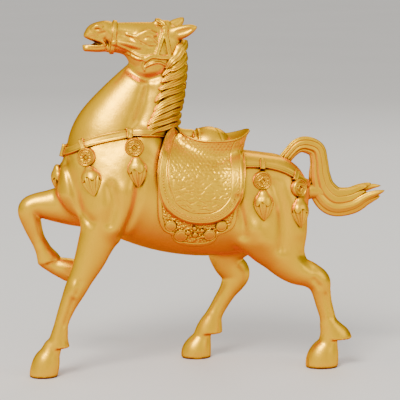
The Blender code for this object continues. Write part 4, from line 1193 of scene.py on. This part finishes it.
    def flap_grid(self, skin: Field, side: Side) -> tuple[Array, Array]:
        """The grids of one flap, from the rim down to its bevelled outline.

        Args:
            skin: the skin that the flap hangs against.
            side: the flap's side.

        Returns:
            The points of its outer face and of its inner face.
        """
        edge_line = self.edge_path(0.0)
        step = directions(edge_line)
        narrow, wide = self.bevel
        widths = narrow + (wide - narrow) * smooth_step(0.0, 0.9, step[:, 0])
        outer = edge_line + widths[:, None] * np.column_stack([step[:, 1], -step[:, 0]])
        low_x, low_z, width = resample(np.column_stack([outer, widths]), self.columns).T
        u = np.linspace(0.0, 1.0, self.columns)
        ease = 0.5 - 0.5 * np.cos(math.pi * u)
        rim = self.rim(math.pi * (1.0 - (0.35 * ease + 0.65 * u)), self.rim_scale)
        v = 1.0 - (1.0 - np.linspace(0.0, 1.0, self.rows)[:, None]) ** 1.25
        x = rim[:, 0] + (low_x - rim[:, 0]) * v
        z = rim[:, 2] - self.rim_drop + (low_z - rim[:, 2] + self.rim_drop) * v
        body = skin.side_depth(x, z, side)
        away = np.hypot(x - rim[:, 0], z - rim[:, 2])
        hang = np.abs(rim[:, 1]) * (1.0 - 0.08 * smooth_step(0.0, 5.0, away)
                                    - 0.5 * smooth_step(5.0, 16.0, away))
        y = soft_cut(body + self.thickness * smooth_step(0.0, 4.0, body), hang, 3.0)
        share = smooth_step(80.0, 84.0, z[1:-1])
        for _ in range(self.smoothing_rounds):
            y[1:-1] += share * (0.25 * y[:-2] - 0.5 * y[1:-1] + 0.25 * y[2:])
        edge = line_distance(x, z, outer) - width
        drop = 0.5 + 1.2 * (width - narrow) / (wide - narrow)
        height = self.relief(x, z, edge) - drop * smooth_step(0.1, -1.0, edge / width)
        inner = y - 0.4 - 2.0 * smooth_step(1.0, 5.0, away)
        tuck = np.where(body > 0.0, smooth_step(2.5, 6.0, away), 0.0)
        inner -= tuck * np.maximum(inner - body + SINK, 0.0)
        return (np.stack([x, side.value * (y + height), z], axis=-1),
                np.stack([x, side.value * np.maximum(inner, 0.1), z], axis=-1))

    def flaps(self, skin: Field, material: Material) -> list[Object]:
        """One flap for each side."""
        pieces = []
        for side in Side:
            parts = MeshParts()
            parts.plate(*self.flap_grid(skin, side), np.array([0.0, side.value * 2.0, 78.0]))
            pieces.append(parts.build("flap_" + side.name.lower(), material))
        return pieces


@dataclass(frozen=True)
class Blanket:
    """The lobed blanket under the flap, with a stippled field and a scroll in each lobe."""

    thickness: float = 1.6
    middle: tuple[float, float] = (-2.9, 67.0)
    outline: Rows = field(default_factory=lambda: [
        (-18.6, 79.6), (-19.0, 72.0), (-18.9, 64.6), (-18.2, 60.6), (-16.6, 57.4), (-14.2, 55.9),
        (-13.2, 55.3), (-12.9, 54.2), (-11.3, 52.1), (-7.9, 50.7), (-3.2, 50.2), (1.4, 50.8),
        (3.9, 52.6), (4.7, 54.6), (6.0, 55.4), (9.5, 57.0), (11.3, 59.5), (12.4, 64.0), (13.6, 71.0),
        (14.0, 79.0), (4.0, 81.0), (-10.0, 81.0)])
    discs: Rows = field(default_factory=lambda: [
        (-13.9, 59.4, 2.2), (6.0, 59.0, 2.2), (-9.7, 55.2, 2.6), (1.5, 55.4, 2.4), (-7.0, 56.4, 1.0),
        (-4.2, 55.4, 1.1), (-1.6, 57.2, 0.9), (-4.6, 58.2, 0.9), (-1.2, 54.6, 0.8)])
    around: int = 420
    rings: int = 90

    def build(self, skin: Field, material: Material) -> list[Object]:
        """One blanket for each side."""
        loop = side_path(self.outline + self.outline[:1], 0.2)[:, [0, 2]]
        rim = resample(loop, self.around, closed=True)
        scale = np.linspace(0.02, 1.0, self.rings)[:, None] ** 0.8
        x = self.middle[0] + (rim[:, 0] - self.middle[0]) * scale
        z = self.middle[1] + (rim[:, 1] - self.middle[1]) * scale
        height = self.thickness + self.relief(x, z, line_distance(x, z, loop))
        pieces = []
        for side in Side:
            body = skin.side_depth(x, z, side, default=8.0)
            top = np.stack([x, side.value * (body + height), z], axis=-1)
            low = np.stack([x, side.value * (body - SINK), z], axis=-1)[-1:]
            heart = low * 0.2 + np.array([self.middle[0], side.value * 3.0, self.middle[1]]) * 0.8
            rings = np.concatenate([top, low, heart])
            pieces.append(MeshParts(rings).build("blanket_" + side.name.lower(), material))
        return pieces

    def relief(self, x: Array, z: Array, edge: Array) -> Array:
        """Height of the blanket's chasing."""
        inside = smooth_step(1.6, 2.0, edge)
        height = -0.7 * smooth_step(0.4, 0.0, edge) ** 2 - 0.35 * bump(edge, 1.7, 0.18)
        height += inside * (0.6 * bump(pebbles(x, z, 1.0, 11), 0.0, 0.42) - 0.45)
        for cx, cz, radius in self.discs:
            off = np.hypot(x - cx, z - cz)
            disc = smooth_step(radius + 0.1, radius - 0.15, off)
            swell = 0.35 * np.sqrt(np.clip(1.0 - (off / radius) ** 2, 0.0, 1.0))
            ring = 0.16 * bump(off, 0.72 * radius, 0.16) * (radius > 2.0)
            height = height * (1 - disc) + disc * (0.05 + swell - ring)
            height -= 0.3 * bump(off, radius + 0.12, 0.14)
        return height


@dataclass(frozen=True)
class Strap:
    """A flat strap round the body, with a raised line along each edge and wraps across it.

    Line holds x and z of its path in the side view; pole is the x of the upright axis that rays fan
    out from to find the skin under it.
    """

    name: str
    line: Rows
    pole: float
    half_width: float = 1.7
    thickness: float = 1.0
    wraps: tuple[float, ...] = ()
    knot: float = 0.0
    step: float = 0.5
    overhang: float = 0.8
    wrap_rise: float = 0.6
    smoothing_rounds: int = 6
    profile: Rows = field(default_factory=lambda: [
        (-1.0, -0.8), (-1.0, 0.55), (-0.94, 0.9), (-0.84, 1.0), (-0.72, 1.0), (-0.64, 0.78), (-0.3, 0.8),
        (0.0, 0.82), (0.3, 0.8), (0.64, 0.78), (0.72, 1.0), (0.84, 1.0), (0.94, 0.9), (1.0, 0.55),
        (1.0, -0.8)])

    def path(self, skin: Field) -> tuple[Array, Array]:
        """The strap's middle line all round the body, and the skin's directions there."""
        line = smooth_path(self.line)
        turn = np.linspace(-1.0, 1.0, 361) * 0.5 * math.pi
        ahead = -1.0 if self.line[0][0] < self.pole else 1.0
        reach = np.arange(52.0, 2.0, -0.15)
        x = self.pole + ahead * np.cos(turn)[:, None] * reach
        y = np.sin(turn)[:, None] * reach
        order = np.argsort(line[:, 0])
        z = np.interp(x, line[order, 0], line[order, 1])
        inside = skin.sample(np.stack([x, y, z], axis=-1).reshape(-1, 3))[0].reshape(x.shape) < 0.0
        pick = (np.arange(len(turn)), inside.argmax(axis=1))
        points = np.column_stack([x[pick], y[pick], z[pick]])
        for _ in range(self.smoothing_rounds):
            points[1:-1] = 0.25 * points[:-2] + 0.5 * points[1:-1] + 0.25 * points[2:]
        return skin.drape(even_path(points, self.step))

    def ring(self, middle: Array, across: Array, normal: Array, half: float, thick: float) -> Array:
        """Sections of the strap at each point of its path."""
        side, up = np.array(self.profile).T
        return (middle[:, None] + across[:, None] * (half * side)[:, None]
                + normal[:, None] * (thick * up)[:, None])

    def build(self, skin: Field, material: Material) -> Object:
        """The strap and its wraps."""
        path, normals = self.path(skin)
        across = across_frames(path, normals)
        parts = MeshParts(self.ring(path, across, normals, self.half_width, self.thickness))
        spots = []
        for x in self.wraps:
            for side in Side:
                ours = np.nonzero(path[:, 1] * side.value > 1.0)[0]
                spots.append((ours[np.abs(path[ours, 0] - x).argmin()], 1.0))
        if self.knot:
            spots.append((np.abs(path[:, 1]).argmin(), self.knot))
        for spot, half in spots:
            run = np.linspace(-1.0, 1.0, 9) * (self.half_width + self.overhang)
            line, lift = skin.drape(path[spot] + run[:, None] * across[spot])
            thick = self.thickness + self.wrap_rise * half
            parts.tube(self.ring(line, across_frames(line, lift), lift, half, thick))
        return parts.build(self.name, material)


@dataclass(frozen=True)
class Pendants:
    """Coins with tassels under them, hanging from the straps, and the tassel on the chest.

    Spots hold a coin's x and z and how far its tassel leans back; swells hold the tassel's share
    of length and its share of radius there.
    """

    spots: Rows = field(default_factory=lambda: [
        (-46.2, 86.4, 0.22), (-27.8, 90.2, 0.12), (22.4, 76.4, 0.03), (37.2, 73.0, 0.06)])
    coin_radius: float = 3.7
    coin_thickness: float = 1.4
    tassel_length: float = 12.2
    tassel_radius: float = 3.5
    tassel_flatness: float = 0.76
    chest_height: float = 82.0
    swells: Rows = field(default_factory=lambda: [
        (0.0, 0.15), (0.05, 0.4), (0.1, 0.48), (0.16, 0.62), (0.25, 0.86), (0.35, 0.97), (0.45, 1.0),
        (0.55, 0.95), (0.65, 0.83), (0.76, 0.64), (0.87, 0.4), (0.95, 0.18), (1.0, 0.02)])

    def coin(self) -> MeshParts:
        """A coin lying in the x, y plane: raised rims, a square eye and a lattice of bars."""
        turn = full_turn(96)
        circle = np.column_stack([np.cos(turn), np.sin(turn)])
        rings = []
        for share in np.linspace(0.01, 1.0, 40):
            x, y = (share * self.coin_radius * circle).T
            eye = np.abs(x) + np.abs(y)
            height = self.coin_thickness - 0.45
            height += 0.5 * bump(share, 0.88, 0.07) + 0.3 * bump(share, 0.62, 0.04)
            height = height + 0.35 * bump(eye, 1.35, 0.24) - 0.3 * smooth_step(1.05, 0.8, eye)
            bars = smooth_step(0.2, 0.7, np.cos(2 * math.pi * np.minimum(np.abs(x), np.abs(y)) / 1.1))
            height += 0.22 * bars * smooth_step(1.55, 1.8, eye) * (share < 0.6)
            height -= 0.45 * smooth_step(0.95, 1.0, share) ** 2
            rings.append(np.column_stack([x, y, height]))
        rings.append(np.insert(self.coin_radius * circle, 2, -1.2, axis=1))
        return MeshParts(rings)

    def tassel(self) -> MeshParts:
        """A tassel hanging towards -y in the x, y plane: a scalloped cap over pointed threads."""
        turn = full_turn(90)
        shares, swells = np.array(self.swells).T

        def ring(radius: Array, reach: float | Array) -> Array:
            drop = np.broadcast_to(-reach * self.tassel_length, turn.shape)
            across, out = radius * np.cos(turn), self.tassel_flatness * radius * np.sin(turn)
            return np.column_stack([across, drop, out])

        threads = []
        for share in np.linspace(0.0, 1.0, 44):
            grooves = 1.0 + 0.12 * np.cos(12 * turn) * smooth_step(0.25, 0.4, share)
            threads.append(ring(self.tassel_radius * np.interp(share, shares, swells) * grooves, share))
        cap = []
        for share in np.arange(18) / 17 * 0.46:
            reach = share + 0.07 * np.cos(5 * turn) * smooth_step(0.2, 0.46, share)
            lobes = 1.0 + 0.05 * np.abs(np.cos(2.5 * turn)) * smooth_step(0.1, 0.3, share)
            radius = self.tassel_radius * (np.interp(reach, shares, swells) * 1.02 + 0.07) * lobes
            cap.append(ring(radius, reach))
        cap += [cap[-1] * np.array([shrink, 1.0, shrink]) for shrink in (0.97, 0.8, 0.4)]
        return MeshParts(threads, cap)

    def places(self, skin: Field) -> tuple[Array, Array, Array, Array]:
        """Find where the pendants sit on the skin.

        Args:
            skin: the bare skin.

        Returns:
            The coins' places and outward directions, and the tassels' places and upward directions.
        """
        rows = []
        for x, z, lean in self.spots:
            for side in Side:
                spot, out = skin.drape(skin.side_point(x, z, side)[None])
                low = skin.side_point(x + lean * 9.0, z - self.coin_radius - 8.0, side)
                top = skin.side_point(x + lean * self.coin_radius, z - self.coin_radius + 0.3, side)
                rows.append((spot[0], out[0], top + np.array([0.0, side.value * 0.7, 0.0]), top - low))
        return tuple(np.array(column) for column in zip(*rows))

    def build(self, skin: Field, material: Material) -> list[Object]:
        """Coins and tassels as repeats of one coin and one tassel."""
        spots, outs, hangs, ups = self.places(skin)
        upright = np.tile([0.0, 0.0, 1.0], (len(spots), 1))
        coins = repeat_on_points("coins", self.coin(), spots, outs, upright, material)
        hangs = np.vstack([hangs, front_point(skin, self.chest_height) + (-1.9, 0.0, 0.2)])
        outs = np.vstack([outs, (-1.0, 0.0, 0.0)])
        ups = np.vstack([ups, (-0.1, 0.0, 1.0)])
        return [coins, repeat_on_points("tassels", self.tassel(), hangs, outs, ups, material)]


def front_point(skin: Field, z: float) -> Array:
    """The chest's middle line at a height."""
    x = np.arange(-66.0, -30.0, 0.1)
    line = np.column_stack([x, np.zeros(len(x)), np.full(len(x), z)])
    return line[np.nonzero(skin.sample(line)[0] < 0.0)[0][0]]


# Repeats.


class Graph:
    """A geometry node group under construction."""

    def __init__(self, name: str) -> None:
        """Start a group with a geometry input and output."""
        self.tree = bpy.data.node_groups.new(name, "GeometryNodeTree")
        self.tree.interface.new_socket("Geometry", in_out="INPUT", socket_type="NodeSocketGeometry")
        self.tree.interface.new_socket("Geometry", in_out="OUTPUT", socket_type="NodeSocketGeometry")
        self.entry = self.tree.nodes.new("NodeGroupInput")
        self.exit = self.tree.nodes.new("NodeGroupOutput")

    def option(self, name: str, kind: str) -> str:
        """Add a named input and return its identifier."""
        return self.tree.interface.new_socket(name, in_out="INPUT", socket_type=kind).identifier

    def add(self, kind: str, inputs: dict[str | int, object] | None = None,
            **settings: object) -> bpy.types.Node:
        """Add a node, as add_node does."""
        return add_node(self.tree, kind, inputs, **settings)

    def attribute(self, name: str) -> Socket:
        """A vector stored on the points."""
        node = self.add("GeometryNodeInputNamedAttribute", {"Name": name}, data_type="FLOAT_VECTOR")
        return node.outputs["Attribute"]

    def finish(self, places: dict[str | int, object]) -> None:
        """Set the item on points, make the instances real and give them the material.

        Args:
            places: the inputs of the node that sets the item on points.
        """
        item = self.add("GeometryNodeObjectInfo", {"Object": self.entry.outputs["Item"]})
        place = self.add("GeometryNodeInstanceOnPoints", {"Instance": item.outputs["Geometry"], **places})
        real = self.add("GeometryNodeRealizeInstances", {"Geometry": place.outputs["Instances"]})
        paint = self.add("GeometryNodeSetMaterial", {"Geometry": real.outputs["Geometry"],
                                                     "Material": self.entry.outputs["Material"]})
        self.tree.links.new(paint.outputs["Geometry"], self.exit.inputs["Geometry"])


def item_graph() -> tuple[Tree, dict[str, str]]:
    """Nodes that set an item on each point, turned by the point's out and up directions."""
    graph = Graph("items on points")
    names = {"Item": graph.option("Item", "NodeSocketObject"),
             "Material": graph.option("Material", "NodeSocketMaterial")}
    points = graph.add("GeometryNodeMeshToPoints", {"Mesh": graph.entry.outputs["Geometry"]})
    upright = graph.add("FunctionNodeAlignRotationToVector", {"Vector": graph.attribute("up")}, axis="Y")
    turned = graph.add("FunctionNodeAlignRotationToVector", {
        "Rotation": upright.outputs["Rotation"], "Vector": graph.attribute("out")}, axis="Z", pivot_axis="Y")
    graph.finish({"Points": points.outputs["Points"], "Rotation": turned.outputs["Rotation"]})
    return graph.tree, names


def row_graph() -> tuple[Tree, dict[str, str]]:
    """Nodes that set an item at an even spacing along lines."""
    graph = Graph("row along a line")
    names = {"Item": graph.option("Item", "NodeSocketObject"),
             "Spacing": graph.option("Spacing", "NodeSocketFloat"),
             "Material": graph.option("Material", "NodeSocketMaterial")}
    curve = graph.add("GeometryNodeMeshToCurve", {"Mesh": graph.entry.outputs["Geometry"]})
    even = graph.add("GeometryNodeResampleCurve", {
        "Curve": curve.outputs["Curve"], "Length": graph.entry.outputs["Spacing"]}, mode="LENGTH")
    graph.finish({"Points": even.outputs["Curve"]})
    return graph.tree, names


def run_graph(name: str, mesh: bpy.types.Mesh, made: tuple[Tree, dict[str, str]],
              options: dict[str, object]) -> Object:
    """Run a node group on a mesh of points or lines and keep its result as a plain mesh."""
    tree, names = made
    holder = new_object(name + " points", mesh)
    modifier = holder.modifiers.new("Repeat", "NODES")
    modifier.node_group = tree
    for key, value in options.items():
        modifier[names[key]] = value
    holder.update_tag()
    graph = bpy.context.evaluated_depsgraph_get()
    graph.update()
    result = bpy.data.meshes.new_from_object(holder.evaluated_get(graph))
    result.name = name
    holder.modifiers.remove(modifier)
    bpy.data.objects.remove(holder)
    for item in [value for value in options.values() if isinstance(value, Object)]:
        bpy.data.objects.remove(item)
    result.shade_smooth()
    return enlist(new_object(name, result))


def scratch_item(parts: MeshParts) -> Object:
    """An item to repeat, in metres, its own origin at zero."""
    mesh = new_mesh("item", np.vstack(parts.points), [], parts.faces)
    mesh.shade_smooth()
    return new_object("item", mesh)


def repeat_on_points(name: str, item: MeshParts, points: Array, outs: Array, ups: Array,
                     material: Material) -> Object:
    """Repeat an item on points, its z outwards and its y upwards."""
    mesh = new_mesh(name + " points", points + FIGURE_SHIFT, [], [])
    for key, rows in (("out", outs), ("up", ups)):
        mesh.attributes.new(key, "FLOAT_VECTOR", "POINT").data.foreach_set("vector", rows.ravel())
    return run_graph(name, mesh, item_graph(), {"Item": scratch_item(item), "Material": material})


def repeat_on_lines(name: str, item: MeshParts, lines: list[Array], spacing: float,
                    material: Material) -> Object:
    """Repeat an item at an even spacing along lines."""
    edges, count = [], 0
    for line in lines:
        edges += [(count + n, count + n + 1) for n in range(len(line) - 1)]
        count += len(line)
    mesh = new_mesh(name + " lines", np.vstack(lines) + FIGURE_SHIFT, edges, [])
    return run_graph(name, mesh, row_graph(), {
        "Item": scratch_item(item), "Spacing": spacing * UNIT, "Material": material})


def bead(radius: float) -> MeshParts:
    """A small ball."""
    turn = full_turn(10)
    rings = []
    for tilt in np.linspace(-0.48 * math.pi, 0.48 * math.pi, 7):
        across, height = radius * math.cos(tilt), radius * math.sin(tilt)
        rings.append(np.column_stack([across * np.cos(turn), across * np.sin(turn), np.full(10, height)]))
    return MeshParts(rings)


# The set.


@dataclass(frozen=True)
class Lamp:
    """A square soft light: name, place, size, power and colour."""

    name: str
    place: Triple
    size: float
    power: float
    colour: Triple


@dataclass(frozen=True)
class Studio:
    """Camera, floor and soft lights."""

    azimuth: float = -8.0
    elevation: float = 8.0
    distance: float = 0.700
    target: Triple = (-0.0014, 0.0, 0.0669)
    lens: float = 157.5
    sensor: float = 36.0
    floor_size: float = 30.0
    floor_colours: tuple[tuple[float, ...], ...] = ((0.76, 0.745, 0.72, 1.0), (0.82, 0.805, 0.78, 1.0))
    bright_side: Triple = (-0.35, -0.5, 0.8)
    surround: tuple[float, float] = (0.26, 1.02)
    lamps: tuple[Lamp, ...] = (Lamp("key", (-0.45, -0.7, 0.9), 0.45, 13.0, (1.0, 0.96, 0.88)),
                               Lamp("fill", (0.75, -0.6, 0.45), 0.6, 1.5, (1.0, 0.98, 0.96)),
                               Lamp("rim", (0.3, 0.8, 0.7), 0.5, 2.0, (1.0, 1.0, 1.0)))

    def build(self) -> None:
        """Make the floor, the world, the lights and the camera."""
        self.floor()
        self.world()
        for lamp in self.lamps:
            self.light(lamp)
        self.camera()

    def floor(self) -> None:
        """A plain pale floor."""
        material, tree, place = new_material("pale floor")
        noise = add_node(tree, "ShaderNodeTexNoise", {"Vector": place, "Scale": 3.0})
        ramp = add_node(tree, "ShaderNodeValToRGB", {"Fac": noise.outputs["Fac"]})
        for element, colour in zip(ramp.color_ramp.elements, self.floor_colours):
            element.color = colour
        shader = tree.nodes["Principled BSDF"]
        shader.inputs["Roughness"].default_value = 0.7
        tree.links.new(ramp.outputs["Color"], shader.inputs["Base Color"])
        mesh = bpy.data.meshes.new("floor")
        corners = [(x * self.floor_size, y * self.floor_size, 0.0)
                   for x, y in ((-1, -1), (1, -1), (1, 1), (-1, 1))]
        mesh.from_pydata(corners, [], [(0, 1, 2, 3)])
        mesh.materials.append(material)
        floor = new_object("floor", mesh)

    def world(self) -> None:
        """A pale surround, brightest towards the upper left front."""
        world = bpy.data.worlds.new("surround")
        world.use_nodes = True
        tree = world.node_tree
        view = add_node(tree, "ShaderNodeTexCoord").outputs["Generated"]
        towards = add_node(tree, "ShaderNodeVectorMath", {
            0: view, 1: Vector(self.bright_side).normalized()}, operation="DOT_PRODUCT")
        strength = add_node(tree, "ShaderNodeMapRange", {
            "Value": towards.outputs["Value"], "From Min": -0.5, "To Min": self.surround[0],
            "To Max": self.surround[1]}, interpolation_type="SMOOTHSTEP")
        back = tree.nodes["Background"]
        back.inputs["Color"].default_value = (1.0, 0.98, 0.95, 1.0)
        tree.links.new(strength.outputs["Result"], back.inputs["Strength"])
        bpy.context.scene.world = world

    def light(self, lamp: Lamp) -> None:
        """Set up a light that faces the figure."""
        light = bpy.data.lights.new(lamp.name, "AREA")
        light.size = lamp.size
        light.energy = lamp.power
        light.color = lamp.colour
        holder = new_object(lamp.name, light)
        holder.location = lamp.place
        aim = Vector(self.target) - Vector(lamp.place)
        holder.rotation_euler = aim.to_track_quat("-Z", "Y").to_euler()

    def camera(self) -> None:
        """The camera, where the photo was taken from."""
        a, e = math.radians(self.azimuth), math.radians(self.elevation)
        back = Vector((math.sin(a) * math.cos(e), -math.cos(a) * math.cos(e), math.sin(e)))
        right = Vector((math.cos(a), math.sin(a), 0.0))
        turned = Matrix((right, back.cross(right), back)).transposed().to_4x4()
        lens = bpy.data.cameras.new("camera")
        lens.sensor_width = self.sensor
        lens.lens = self.lens
        camera = new_object("camera", lens)
        camera.matrix_world = Matrix.Translation(Vector(self.target) + self.distance * back) @ turned
        bpy.context.scene.camera = camera


def main() -> None:
    """Build every piece of the casting and the set, in order."""
    logging.basicConfig(level=logging.INFO, format="%(message)s")
    gilt = GiltFinish().build()
    anatomy = Anatomy()
    bodywork = Bodywork()
    skin = bodywork.skin(anatomy)
    bodywork.body(skin, gilt)
    bodywork.head(HeadDetails(), anatomy, gilt)
    Mane().build(skin, gilt)
    Tail().build(gilt)
    saddle = Saddle()
    saddle.seat(gilt)
    saddle.flaps(skin, gilt)
    Blanket().build(skin, gilt)
    Strap("breast_strap", [(-61.5, 83.6), (-60.0, 84.2), (-54.0, 87.2), (-47.5, 90.4), (-40.1, 93.2),
                           (-30.1, 95.0), (-22.1, 95.2), (-13.0, 94.6)], -13.0,
          wraps=(-47.3, -29.4), knot=1.3).build(skin, gilt)
    Strap("crupper_strap", [(13.0, 82.4), (20.0, 82.2), (26.0, 81.6), (31.4, 80.2), (35.8, 77.8),
                            (42.0, 73.5)], 13.0, half_width=1.5, wraps=(22.9, 36.0)).build(skin, gilt)
    Pendants().build(skin, gilt)
    repeat_on_lines("beads", bead(BEAD_RADIUS), saddle.bead_rows(skin), BEAD_SPACING, gilt)
    Studio().build()


if __name__ == "__main__":
    main()
